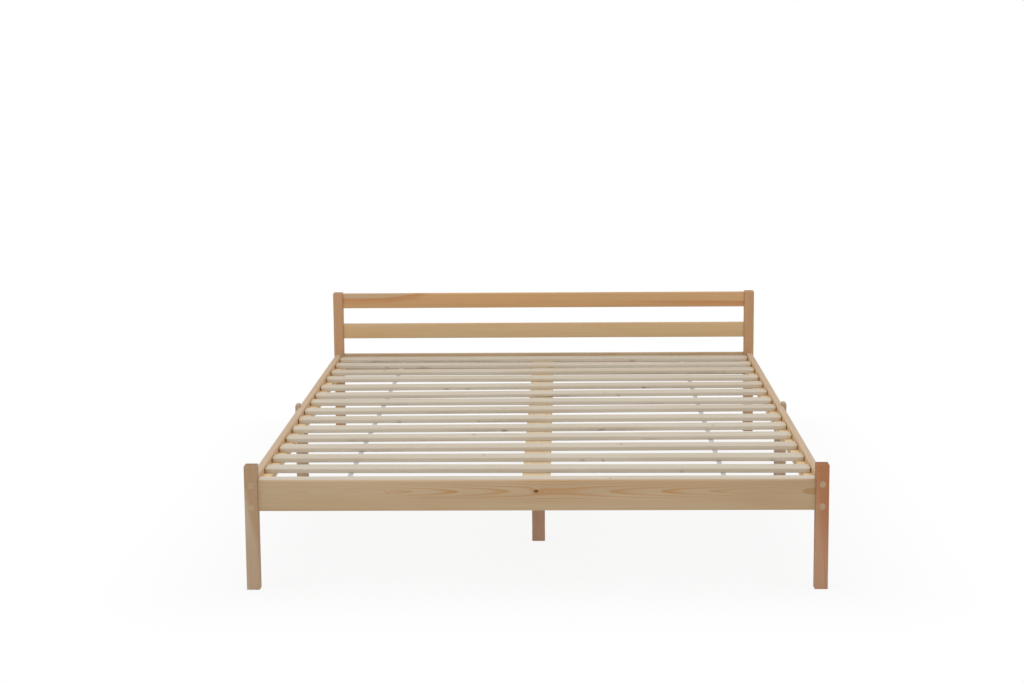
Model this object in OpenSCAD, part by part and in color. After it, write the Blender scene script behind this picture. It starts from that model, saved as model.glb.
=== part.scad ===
// Low pine bed frame with a two-rail headboard, rails in two lengths joined at
// a post half way along each side, and a slat roll that lifts out.
// The foot end is at -Y, the head end at +Y, and the floor is Z = 0.

/* [Mattress] */
// Width of the mattress that lies in the frame
mattress_w = 1400; // [900:10:1800]
// Length of the mattress
mattress_l = 2000; // [1800:10:2200]
// Play between the mattress and each side rail
mattress_side_play = 6; // [2:0.5:12]
// Play between the mattress and each end rail
mattress_end_play = 4.5; // [2:0.5:12]

/* [Posts] */
// Side of the square corner posts
post_s = 33; // [30:1:45]
// How far the foot posts stand above the rails
foot_post_rise = 41; // [20:1:120]
// How far the head posts stand above the top head rail
head_post_rise = 3; // [1:1:30]
// Depth of the mid posts across the bed
mid_post_x = 33; // [25:1:45]
// Width of the mid posts along the bed
mid_post_y = 33; // [28:1:60]
// How far the mid posts stand above the side rails
mid_post_rise = 9; // [4:1:30]
// How far the mid posts stand out beyond the corner posts
mid_post_proud = 4; // [2:0.5:8]
// How far the mid posts' tongues are let into the side rails
mid_post_let_in = 5; // [2:0.5:8]
// Radius of the rounded tops of the corner posts
post_top_r = 4; // [1:0.5:6]
// Radius of the rounded tops of the mid posts
mid_post_top_r = 5; // [1:0.5:5]

/* [Rails] */
// Height of the rails' underside above the floor
rail_z = 201; // [150:1:300]
// Height of the side rails, the foot rail and the lowest head rail
rail_h = 77; // [72:1:110]
// Thickness of the rails across the ends
rail_t = 18; // [16:1:24]
// Thickness of the side rails
side_rail_t = 19.5; // [17:0.5:24]
// How far the side rails lie inside the corner posts' outer faces
side_inset = 4.5; // [4:0.5:7.5]
// Height of the two upper head rails
head_rail_h = 51; // [40:1:90]
// Gap under each upper head rail
head_rail_gap = 55; // [30:1:120]
// Radius of the eased long edges of posts, end rails and beam
edge_r = 3; // [1:0.5:5]
// Radius of the rounded long edges of the side rails
side_edge_r = 5; // [1:0.5:7]

/* [Slats] */
// Number of slats in the roll
slat_count = 15; // [10:1:18]
// Width of a slat
slat_w = 56; // [40:1:70]
// Thickness of a slat
slat_t = 12; // [8:1:16]
// How far the slat tops lie below the rail tops
slat_drop = 7; // [3:1:12]
// Gap between each slat end and the side rail
slat_end_play = 1; // [1:0.5:12]
// Gap between the outer slats and the end rails
slat_row_play = 15; // [5:1:40]
// Radius of the long edges of a slat
slat_edge_r = 3; // [1:0.5:4]
// Radius of the slat corners seen from above
slat_corner_r = 5; // [4:1:18]
// Distance of each tape from the middle of the bed
tape_x = 480; // [200:1:650]
// Width of the tapes that hold the slats in a row
tape_w = 13; // [12:1:25]
// Thickness of the tapes
tape_t = 1; // [0.6:0.1:2]

/* [Slat supports] */
// Side of the square battens that carry the slat ends
ledger_s = 22; // [18:1:28]
// Width of the flat beam under the middle of the slats
beam_w = 72; // [60:1:100]
// Thickness of the beam
beam_t = 20; // [16:1:30]
// Side of the square legs under the beam
centre_leg_s = 35; // [28:1:50]
// Distance of each centre leg's middle from the nearer end of the bed
centre_leg_y = 508; // [300:1:800]
// Side of the square blocks that carry the beam's outer ends
cleat_s = 22; // [18:1:30]
// Length of those blocks
cleat_l = 150; // [110:1:250]
// Length of the block under the joint in the beam
splice_l = 160; // [120:1:300]
// Width of the block under the joint in the beam
splice_w = 60; // [52:1:70]
// Thickness of the block under the joint in the beam
splice_t = 15; // [14:1:25]
// Length of the steel plates across the joints in the side rails
plate_l = 140; // [120:1:200]
// Height of those plates
plate_h = 26; // [18:1:30]
// Thickness of those plates
plate_t = 2; // [1.5:0.5:4]

/* [Fasteners] */
// Diameter of the corner bolts
bolt_d = 6; // [5:1:8]
// Length of the corner bolts under the head
bolt_l = 60; // [55:1:70]
// Diameter of the bolt heads
bolt_head_d = 13; // [11:1:15]
// Thickness of the bolt heads
bolt_head_t = 4; // [3:0.5:5]
// Distance of the bolts from the upper and lower edges of the rail
bolt_edge = 10.5; // [9:0.5:14]
// Diameter of the barrel nuts
nut_d = 10; // [10:1:12]
// Wood left behind each barrel nut
nut_wall = 4; // [2:0.5:6]
// Diameter of the wooden plugs over the bolts
plug_d = 16; // [16:1:18]
// Thickness of the plugs
plug_t = 6; // [4:0.5:8]
// Diameter of the dowels in the end frames
dowel_d = 8; // [6:1:10]
// Length of the dowels
dowel_l = 36; // [24:1:40]
// Distance of the dowels from the edges of the tall end rails
dowel_edge = 24.5; // [24:0.5:28]
// Distance of the dowels from the edges of the upper head rails
head_dowel_edge = 14.5; // [10:0.5:15]
// Diameter of the wood screws
screw_d = 4; // [3:0.5:4.5]
// Diameter of the wood screws' heads
screw_head_d = 8; // [7:0.5:9]
// Wood left in front of a screw's tip
screw_tip_wall = 5; // [3:0.5:7]
// How far the beam's screws go into the centre legs
leg_screw_bite = 40; // [25:1:60]
// Screws in each ledger batten
ledger_screw_count = 5; // [3:1:8]
// Width and thickness of the staple wire
staple_wire = 1.2; // [0.8:0.1:1.4]
// Width of the staples across the tape
staple_w = 10; // [8:0.5:11]
// Length of the staple legs
staple_leg = 6; // [4:0.5:7.5]

/* [Hidden] */
$fn = 48;

// Clearances
hole_play = 0.1;       // round each dowel, plug, nut, screw and staple
bolt_play = 0.3;       // round each bolt's shank
head_play = 1;         // round each bolt's head, in the plug's bore
ledger_play = 2;       // between a ledger's end and the corner post
beam_play = 1;         // between the beam and the end rail
slat_seat = 0.1;       // under the slats, so that the roll lifts out freely
dowel_end_play = 0.5;  // behind each dowel's end

// Sizes that follow from the ones above
end_inset = (post_s - rail_t) / 2;
posts_w = mattress_w + 2 * (mattress_side_play + side_rail_t + side_inset);
posts_l = mattress_l + 2 * (mattress_end_play + rail_t + end_inset);
half_w = posts_w / 2;
half_l = posts_l / 2;
mid_out = half_w + mid_post_proud;
side_out = half_w - side_inset;
side_in = side_out - side_rail_t;
tongue_in = side_out - mid_post_let_in;
end_out = half_l - end_inset;
end_in = end_out - rail_t;
post_in_y = half_l - post_s;

rail_top = rail_z + rail_h;
middle_rail_z = rail_top + head_rail_gap;
top_rail_z = middle_rail_z + head_rail_h + head_rail_gap;
foot_post_h = rail_top + foot_post_rise;
head_post_h = top_rail_z + head_rail_h + head_post_rise;
mid_post_h = rail_top + mid_post_rise;

slat_z = rail_top - slat_drop - slat_t;
support_top = slat_z - slat_seat;
ledger_z = support_top - ledger_s;
beam_z = support_top - beam_t;
cleat_z = beam_z - cleat_s;
splice_z = beam_z - splice_t;
plate_z = (rail_z + ledger_z - plate_h) / 2;

slat_l = 2 * (side_in - slat_end_play);
slat_first_y = -end_in + slat_row_play + slat_w / 2;
slat_pitch = -2 * slat_first_y / (slat_count - 1);
// The row is stapled by hand, so the slats sit a little off the even pitch and
// lie a little askew, which is given in degrees
slat_shift = [0, 3, 3, 5, 7, 4, 4, 10, 5, 1, 2, 12, 14, 6, 2];
slat_skew = [0, -0.5, 0, 0.6, 1, 1.2, 0.8, 1.4, 0.3, 1.6, 1.2, 0, 0.8, -0.2, 0];
tape_margin = 6;
staple_crown = 0.8;

bore_depth = plug_t + bolt_head_t;
bolt_tip = 7;
nut_y = half_l - bore_depth - bolt_l + bolt_tip;
nut_l = side_rail_t - nut_wall;
hex_key = 4;
hex_depth = 2.5;

cleat_screw_edge = 20;
cleat_screw_x = cleat_l / 2 - cleat_screw_edge;
beam_screw_x = beam_w / 4;
splice_screw_edge = 12;
splice_screw_x = splice_w / 2 - splice_screw_edge;
leg_screw_x = centre_leg_s / 4;
mid_screw_y = mid_post_y / 4;
mid_screw_edge = 18.5;
plate_screw_joint = 20;
plate_screw_edge = 12;
plate_screw_ys = [plate_screw_joint, plate_l / 2 - plate_screw_edge];
ledger_margin = 60;
pan_head_t = 2;
recess_w = 0.9;
recess_depth = 1.2;

function two_digits(n) = str(n < 10 ? "0" : "", n);
function slat_name(i) = str("slat_", two_digits(i + 1));
function slat_turn(i) = i < len(slat_skew) ? slat_skew[i] : 0;
function slat_y(i) =
    slat_first_y + i * slat_pitch + (i < len(slat_shift) ? slat_shift[i] : 0);
function slat_y_at(i, x) = slat_y(i) + x * tan(slat_turn(i));
function bolt_zs() = [rail_z + bolt_edge, rail_top - bolt_edge];
function tall_dowel_zs() = [rail_z + dowel_edge, rail_top - dowel_edge];
function head_dowel_zs(z) = [z + head_dowel_edge, z + head_rail_h - head_dowel_edge];
function leg_y() = half_l - centre_leg_y;
function ledger_screw_y(i) =
    ledger_margin
    + i * (post_in_y - ledger_play - 2 * ledger_margin) / (ledger_screw_count - 1);

// Rectangle with rounded corners and its lower left corner at the origin
module round_rect(w, h, r) {
    translate([r, 0]) square([w - 2 * r, h]);
    translate([0, r]) square([w, h - 2 * r]);
    for (x = [r, w - r], y = [r, h - r]) translate([x, y]) circle(r);
}

// Bars with eased long edges, their low corner at the origin
module bar_x(l, w, h, r) rotate([90, 0, 90]) linear_extrude(l) round_rect(w, h, r);
module bar_y(l, w, h, r)
    translate([0, l, 0]) rotate([90, 0, 0]) linear_extrude(l) round_rect(w, h, r);
module bar_z(h, w, d, r) linear_extrude(h) round_rect(w, d, r);

// Upright bar with eased edges and a top that is rounded on all four sides
module post_bar(w, d, h, top_r) {
    intersection() {
        bar_z(h, w, d, edge_r);
        translate([0, 0, -h]) bar_x(w, d, 2 * h, top_r);
        translate([0, 0, -h]) bar_y(d, w, 2 * h, top_r);
    }
}

// The bed is the same left and right, and largely the same at foot and head.
// Shapes are drawn at the right foot corner and placed by these.
module at(right, head) {
    mirror([right ? 0 : 1, 0, 0]) mirror([0, head ? 1 : 0, 0]) children();
}
module every_corner() {
    for (right = [true, false], head = [true, false]) at(right, head) children();
}
module both_sides() {
    for (right = [true, false]) at(right, false) children();
}
module both_ends() {
    for (head = [true, false]) at(true, head) children();
}

// Turn a shape that points along +Z so that it points another way
module to_plus_x() rotate([0, 90, 0]) children();
module to_minus_x() rotate([0, -90, 0]) children();
module to_plus_y() rotate([-90, 0, 0]) children();
module to_minus_y() rotate([90, 0, 0]) children();
module to_minus_z() rotate([180, 0, 0]) children();

// Countersunk wood screw with its head's face at the origin, pointing up
module screw_body(l, play) {
    head_h = (screw_head_d - screw_d) / 2;
    cylinder(h = head_h, d1 = screw_head_d + 2 * play, d2 = screw_d + 2 * play);
    cylinder(h = l + play, d = screw_d + 2 * play);
}
module cross_recess() {
    span = screw_head_d / 2;
    for (a = [0, 90])
        rotate(a) translate([-span / 2, -recess_w / 2, -recess_depth])
            cube([span, recess_w, 2 * recess_depth]);
}
module screw(l) {
    difference() {
        screw_body(l, 0);
        cross_recess();
    }
}
module screw_hole(l) screw_body(l, hole_play);

// Wood screw with a flat round head that sits on a steel plate
module pan_screw(l) {
    difference() {
        union() {
            translate([0, 0, -pan_head_t]) cylinder(h = pan_head_t, d = screw_head_d);
            cylinder(h = l, d = screw_d);
        }
        translate([0, 0, -pan_head_t]) cross_recess();
    }
}
module pan_screw_hole(l) cylinder(h = l + hole_play, d = screw_d + 2 * hole_play);

// Corner joint: a bolt through the post into a barrel nut in the side rail
module each_corner_bolt() {
    for (z = bolt_zs())
        translate([half_w - post_s / 2, -half_l, z]) children();
}
module bolt_bore_in_post() {
    each_corner_bolt() to_plus_y() {
        cylinder(h = bore_depth, d = plug_d + 2 * hole_play);
        cylinder(h = post_s, d = bolt_d + 2 * bolt_play);
    }
}
module bolt_bore_in_rail() {
    each_corner_bolt() to_plus_y()
        cylinder(h = bore_depth + bolt_l + bolt_play, d = bolt_d + 2 * bolt_play);
}
module corner_bolt() {
    each_corner_bolt() to_plus_y() translate([0, 0, plug_t])
        difference() {
            union() {
                cylinder(h = bolt_head_t, d = bolt_head_d);
                cylinder(h = bolt_head_t + bolt_l, d = bolt_d);
            }
            translate([0, 0, -1])
                cylinder(h = hex_depth + 1, d = hex_key / cos(30), $fn = 6);
        }
}
module bolt_plug() {
    each_corner_bolt() to_plus_y() cylinder(h = plug_t, d = plug_d);
}
module each_nut() {
    for (z = bolt_zs()) translate([side_in, -nut_y, z]) to_plus_x() children();
}
module nut_bore() {
    each_nut() translate([0, 0, -1])
        cylinder(h = nut_l + 1 + hole_play, d = nut_d + 2 * hole_play);
}
module barrel_nut() {
    difference() {
        each_nut() cylinder(h = nut_l, d = nut_d);
        each_corner_bolt() to_plus_y()
            cylinder(h = bore_depth + bolt_l + post_s, d = bolt_d + 2 * hole_play);
    }
}

// Dowels that hold the end rails between the posts
module each_dowel(zs) {
    for (z = zs)
        translate([half_w - post_s, -half_l + post_s / 2, z]) to_plus_x() children();
}
module dowel_bore(zs) {
    reach = dowel_l / 2 + dowel_end_play;
    each_dowel(zs) translate([0, 0, -reach])
        cylinder(h = 2 * reach, d = dowel_d + 2 * hole_play);
}
module dowel(zs) {
    each_dowel(zs) translate([0, 0, -dowel_l / 2]) cylinder(h = dowel_l, d = dowel_d);
}
function all_head_dowel_zs() =
    concat(tall_dowel_zs(), head_dowel_zs(middle_rail_z), head_dowel_zs(top_rail_z));

module corner_post(h, dowel_zs) {
    difference() {
        translate([half_w - post_s, -half_l, 0])
            post_bar(post_s, post_s, h, post_top_r);
        bolt_bore_in_post();
        dowel_bore(dowel_zs);
    }
}
module foot_post(right) {
    color("#c99a6c") at(right, false) corner_post(foot_post_h, tall_dowel_zs());
}
module head_post(right) {
    color("#c99a6c") at(right, true) corner_post(head_post_h, all_head_dowel_zs());
}

// Post half way along the side. It stands under the rails and is let into their
// outer face with a tongue, and the two lengths of side rail meet behind that.
module mid_post_profile() {
    tongue = mid_out - tongue_in;
    square([mid_post_x, rail_z]);
    translate([mid_post_x - tongue, 0]) round_rect(tongue, mid_post_h, mid_post_top_r);
}
module mid_post(right) {
    color("#c39468") at(right, false) difference() {
        translate([mid_out - mid_post_x, -mid_post_y / 2, 0]) intersection() {
            translate([0, mid_post_y, 0]) rotate([90, 0, 0])
                linear_extrude(mid_post_y) mid_post_profile();
            bar_z(mid_post_h, mid_post_x, mid_post_y, edge_r);
            translate([0, 0, -mid_post_h])
                bar_x(mid_post_x, mid_post_y, 2 * mid_post_h, mid_post_top_r);
        }
        mid_screws_at() screw_hole(mid_screw_l());
    }
}
module mid_post_notch() {
    translate([tongue_in, -mid_post_y / 2, rail_z - 1])
        cube([mid_out - tongue_in, mid_post_y, rail_h + 2]);
}
function mid_screw_l() = mid_out - side_in - screw_tip_wall;
module mid_screws_at() {
    for (y = [-mid_screw_y, mid_screw_y])
        for (z = [rail_z + mid_screw_edge, rail_top - mid_screw_edge])
            translate([mid_out, y, z]) to_minus_x() children();
}

// Rails across the foot and head ends
module end_rail(z, h, dowel_zs) {
    difference() {
        translate([-half_w + post_s, -end_out, z])
            bar_x(posts_w - 2 * post_s, rail_t, h, edge_r);
        both_sides() dowel_bore(dowel_zs);
    }
}
module tall_end_rail() {
    difference() {
        end_rail(rail_z, rail_h, tall_dowel_zs());
        cleat_rail_screws_at() screw_hole(cleat_rail_screw_l());
    }
}
module foot_rail() {
    color("#cfa878") tall_end_rail();
}
module head_low_rail() {
    color("#cfa878") at(true, true) tall_end_rail();
}
module head_middle_rail() {
    color("#d2ad7e")
        at(true, true) end_rail(middle_rail_z, head_rail_h, head_dowel_zs(middle_rail_z));
}
module head_top_rail() {
    color("#c98f5e")
        at(true, true) end_rail(top_rail_z, head_rail_h, head_dowel_zs(top_rail_z));
}

// Side rails, two lengths on each side that meet at the mid post
module side_rail(right, head) {
    color("#cfa878") at(right, head) difference() {
        translate([side_in, -post_in_y, rail_z])
            bar_y(post_in_y, side_rail_t, rail_h, side_edge_r);
        bolt_bore_in_rail();
        nut_bore();
        mid_post_notch();
        ledger_screws_at() screw_hole(ledger_screw_l());
        mid_screws_at() screw_hole(mid_screw_l());
        plate_screws_at() pan_screw_hole(plate_screw_l());
    }
}

// Battens screwed to the inner faces of the side rails, under the slat ends
function ledger_screw_l() = ledger_s + side_rail_t - screw_tip_wall;
module ledger_screws_at() {
    for (i = [0:ledger_screw_count - 1])
        translate([side_in - ledger_s, -ledger_screw_y(i), ledger_z + ledger_s / 2])
            to_plus_x() children();
}
module ledger(right, head) {
    color("#cba070") at(right, head) difference() {
        translate([side_in - ledger_s, -post_in_y + ledger_play, ledger_z])
            bar_y(post_in_y - ledger_play, ledger_s, ledger_s, 1);
        ledger_screws_at() screw_hole(ledger_screw_l());
    }
}

// Beam under the middle of the slats, in two lengths
module beam(head) {
    color("#cdb07c") at(true, head) difference() {
        translate([-beam_w / 2, -end_in + beam_play, beam_z])
            bar_y(end_in - beam_play, beam_w, beam_t, edge_r);
        beam_screws_at() screw_hole(beam_screw_l());
        splice_screws_at() screw_hole(splice_screw_l());
        leg_screws_at() screw_hole(leg_screw_l());
    }
}
module beam_splice() {
    color("#cba070") difference() {
        translate([-splice_w / 2, -splice_l / 2, splice_z])
            bar_y(splice_l, splice_w, splice_t, 1);
        both_ends() splice_screws_at() screw_hole(splice_screw_l());
    }
}
function splice_screw_l() = beam_t + splice_t - screw_tip_wall;
module splice_screws_at() {
    for (x = [-splice_screw_x, splice_screw_x])
        translate([x, -splice_l / 4, support_top]) to_minus_z() children();
}

// Blocks on the inner faces of the end rails, under the beam's outer ends
function beam_screw_l() = beam_t + cleat_s - screw_tip_wall;
function cleat_rail_screw_l() = cleat_s + rail_t - screw_tip_wall;
module beam_screws_at() {
    for (x = [-beam_screw_x, beam_screw_x])
        translate([x, -end_in + cleat_s / 2, support_top]) to_minus_z() children();
}
module cleat_rail_screws_at() {
    for (x = [-cleat_screw_x, cleat_screw_x])
        translate([x, -end_in + cleat_s, cleat_z + cleat_s / 2]) to_minus_y() children();
}
module beam_cleat(head) {
    color("#cba070") at(true, head) difference() {
        translate([-cleat_l / 2, -end_in, cleat_z]) bar_x(cleat_l, cleat_s, cleat_s, 1);
        beam_screws_at() screw_hole(beam_screw_l());
        cleat_rail_screws_at() screw_hole(cleat_rail_screw_l());
    }
}

// Legs under the beam
function leg_screw_l() = beam_t + leg_screw_bite;
module leg_screws_at() {
    for (x = [-leg_screw_x, leg_screw_x])
        translate([x, -leg_y(), support_top]) to_minus_z() children();
}
module centre_leg(head) {
    color("#b98a66") at(true, head) difference() {
        translate([-centre_leg_s / 2, -leg_y() - centre_leg_s / 2, 0])
            bar_z(beam_z, centre_leg_s, centre_leg_s, edge_r);
        leg_screws_at() screw_hole(leg_screw_l());
    }
}

// Steel plates across the joints, on the inner faces of the side rails
function plate_screw_l() = plate_t + side_rail_t - screw_tip_wall;
module plate_screws_at() {
    for (y = plate_screw_ys)
        translate([side_in - plate_t, -y, plate_z + plate_h / 2]) to_plus_x() children();
}
module joining_plate(right) {
    color("#b9bcc0") at(right, false) difference() {
        translate([side_in - plate_t, -plate_l / 2, plate_z])
            cube([plate_t, plate_l, plate_h]);
        both_ends() plate_screws_at() pan_screw_hole(plate_screw_l());
    }
}

// Slats, tapes and staples: the roll that lies on the ledgers and the beam
module staple_legs_at(i, play) {
    leg = staple_wire + 2 * play;
    for (side = [-1, 1], x = [-1, 1])
        translate([side * tape_x + x * (staple_w - staple_wire) / 2 - leg / 2,
                   slat_y_at(i, side * tape_x) - leg / 2, slat_z - tape_t - staple_crown])
            cube([leg, leg, staple_crown + tape_t + staple_leg + play]);
}
module slat(i) {
    color("#d9cbb4") difference() {
        translate([0, slat_y(i), 0]) rotate(slat_turn(i))
            translate([-slat_l / 2, -slat_w / 2, 0]) intersection() {
                translate([0, 0, slat_z]) bar_x(slat_l, slat_w, slat_t, slat_edge_r);
                bar_z(rail_top, slat_l, slat_w, slat_corner_r);
            }
        staple_legs_at(i, hole_play);
    }
}
module tape(right) {
    start = slat_y(0) - slat_w / 2 + tape_margin;
    end = slat_y(slat_count - 1) + slat_w / 2 - tape_margin;
    x = (right ? 1 : -1) * tape_x;
    color("#e2dfda") difference() {
        translate([x - tape_w / 2, start, slat_z - tape_t])
            cube([tape_w, end - start, tape_t]);
        for (i = [0:slat_count - 1]) staple_legs_at(i, hole_play);
    }
}
module tape_staples() {
    color("#a9acb0") for (i = [0:slat_count - 1]) {
        staple_legs_at(i, 0);
        for (side = [-1, 1])
            translate([side * tape_x - staple_w / 2,
                       slat_y_at(i, side * tape_x) - staple_wire / 2,
                       slat_z - tape_t - staple_crown])
                cube([staple_w, staple_wire, staple_crown]);
    }
}

// Fasteners, each kind in one group
module corner_bolts() {
    color("#9a9da2") every_corner() corner_bolt();
}
module barrel_nuts() {
    color("#b4b6ba") every_corner() barrel_nut();
}
module bolt_plugs() {
    color("#d8b48a") every_corner() bolt_plug();
}
module rail_dowels() {
    color("#d8b88c") both_sides() {
        dowel(tall_dowel_zs());
        at(true, true) dowel(all_head_dowel_zs());
    }
}
module ledger_screws() {
    color("#b9a15a") every_corner() ledger_screws_at() screw(ledger_screw_l());
}
module cleat_screws() {
    color("#b9a15a") both_ends() cleat_rail_screws_at() screw(cleat_rail_screw_l());
}
module beam_screws() {
    color("#b9a15a") both_ends() beam_screws_at() screw(beam_screw_l());
}
module splice_screws() {
    color("#b9a15a") both_ends() splice_screws_at() screw(splice_screw_l());
}
module leg_screws() {
    color("#b9a15a") both_ends() leg_screws_at() screw(leg_screw_l());
}
module mid_post_screws() {
    color("#b9a15a") both_sides() mid_screws_at() screw(mid_screw_l());
}
module plate_screws() {
    color("#b4b6ba") every_corner() plate_screws_at() pan_screw(plate_screw_l());
}

foot_post(false);  // foot_post_left
foot_post(true);  // foot_post_right
head_post(false);  // head_post_left
head_post(true);  // head_post_right
mid_post(false);  // mid_post_left
mid_post(true);  // mid_post_right
foot_rail();
head_low_rail();
head_middle_rail();
head_top_rail();
side_rail(false, false);  // side_rail_left_front
side_rail(false, true);  // side_rail_left_rear
side_rail(true, false);  // side_rail_right_front
side_rail(true, true);  // side_rail_right_rear
ledger(false, false);  // ledger_left_front
ledger(false, true);  // ledger_left_rear
ledger(true, false);  // ledger_right_front
ledger(true, true);  // ledger_right_rear
beam(false);  // beam_front
beam(true);  // beam_rear
beam_splice();
beam_cleat(false);  // beam_cleat_foot
beam_cleat(true);  // beam_cleat_head
centre_leg(false);  // centre_leg_front
centre_leg(true);  // centre_leg_rear
joining_plate(false);  // joining_plate_left
joining_plate(true);  // joining_plate_right
corner_bolts();
barrel_nuts();
bolt_plugs();
rail_dowels();
ledger_screws();
cleat_screws();
beam_screws();
splice_screws();
leg_screws();
mid_post_screws();
plate_screws();
for (i = [0:slat_count - 1])
    slat(i);
tape(false);  // tape_left
tape(true);  // tape_right
tape_staples();
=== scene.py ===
"""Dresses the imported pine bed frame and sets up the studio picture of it.

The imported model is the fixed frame. The long boards at the foot and head, the slats,
the tapes and the staples are drawn again here with finer surfaces. Every other piece
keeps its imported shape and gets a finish. All wood is drawn as if it were sawn from a
log: growth rings run round a pith line, and each board has its own place in its log.
"""

import logging
import math
from dataclasses import dataclass, field
from enum import Enum

import bpy
import numpy as np
from mathutils import Matrix, Vector


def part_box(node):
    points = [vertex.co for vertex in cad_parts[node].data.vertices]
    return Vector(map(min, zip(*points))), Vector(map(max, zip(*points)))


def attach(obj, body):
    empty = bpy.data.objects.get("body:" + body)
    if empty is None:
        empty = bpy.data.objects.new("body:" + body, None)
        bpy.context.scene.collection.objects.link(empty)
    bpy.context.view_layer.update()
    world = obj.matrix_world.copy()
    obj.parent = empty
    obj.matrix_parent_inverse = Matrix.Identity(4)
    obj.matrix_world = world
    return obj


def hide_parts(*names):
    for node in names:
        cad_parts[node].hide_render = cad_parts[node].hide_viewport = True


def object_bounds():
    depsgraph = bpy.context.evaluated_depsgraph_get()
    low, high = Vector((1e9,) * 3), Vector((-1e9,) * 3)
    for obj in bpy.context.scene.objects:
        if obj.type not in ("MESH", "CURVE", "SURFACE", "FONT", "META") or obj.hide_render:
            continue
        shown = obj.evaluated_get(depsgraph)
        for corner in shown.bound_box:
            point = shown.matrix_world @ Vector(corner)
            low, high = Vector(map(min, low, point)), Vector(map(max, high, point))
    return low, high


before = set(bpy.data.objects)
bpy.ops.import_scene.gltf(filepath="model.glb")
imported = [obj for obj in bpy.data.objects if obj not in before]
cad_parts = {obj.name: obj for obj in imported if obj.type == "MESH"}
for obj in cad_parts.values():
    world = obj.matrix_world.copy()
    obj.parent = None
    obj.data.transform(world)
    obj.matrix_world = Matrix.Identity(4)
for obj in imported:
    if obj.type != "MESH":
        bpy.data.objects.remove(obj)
CAD_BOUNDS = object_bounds()

LOG = logging.getLogger("bed_frame")
MM = 0.001

# A heartwood radius below that of any point, so that no heartwood shows
NO_HEART = -9.0

Colour = tuple[float, float, float]
Point = tuple[float, float, float]


def srgb(red: int, green: int, blue: int) -> Colour:
    """Turns a colour as seen on a screen into the linear values that shaders use.

    Args:
        red: Red from 0 to 255.
        green: Green from 0 to 255.
        blue: Blue from 0 to 255.

    Returns:
        The three linear values, from 0 to 1.
    """
    seen = np.array([red, green, blue]) / 255.0
    linear = np.where(seen <= 0.04045, seen / 12.92, ((seen + 0.055) / 1.055) ** 2.4)
    return tuple(float(value) for value in linear)


# What the wood's colour is multiplied by in three places, and the colour of bark
HEART_RIM_TINT = srgb(238, 214, 202)
END_TINT = srgb(214, 196, 176)
KNOT_RIM_TINT = srgb(205, 170, 140)
BARK = srgb(112, 84, 64)


def draw(rng: np.random.Generator, low: float, high: float) -> float:
    """Draws one random number.

    Args:
        rng: The source of the random draws.
        low: The least that it can be.
        high: The most that it can be.

    Returns:
        The number.
    """
    return float(rng.uniform(low, high))


class Run(Enum):
    """Which way the grain of a piece runs."""

    ALONG_X = "x"
    ALONG_Y = "y"
    UPRIGHT = "z"

    def turn(self) -> Matrix:
        """Gives the turn that lays the piece's length along X.

        Returns:
            A three by three turning matrix.
        """
        if self is Run.ALONG_Y:
            return Matrix.Rotation(-math.pi / 2, 3, "Z")
        if self is Run.UPRIGHT:
            return Matrix.Rotation(math.pi / 2, 3, "Y")
        return Matrix.Identity(3)

    def unit(self) -> Point:
        """Gives the unit vector along the grain."""
        return {"x": (1, 0, 0), "y": (0, 1, 0), "z": (0, 0, 1)}[self.value]


class Waves(Enum):
    """Soft noise in the wood, as waves a metre along the grain and across it."""

    SLOW = (1.6, 11.0)
    QUICK = (12.0, 90.0)
    FIBRE = (16.0, 1500.0)
    STREAK = (2.6, 190.0)
    PATCH = (2.2, 16.0)
    BARK = (45.0, 300.0)

    def stretch(self) -> Point:
        """Gives the waves a metre along X, Y and Z for grain that runs along X."""
        along, across = self.value
        return (along, across, across)


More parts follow.
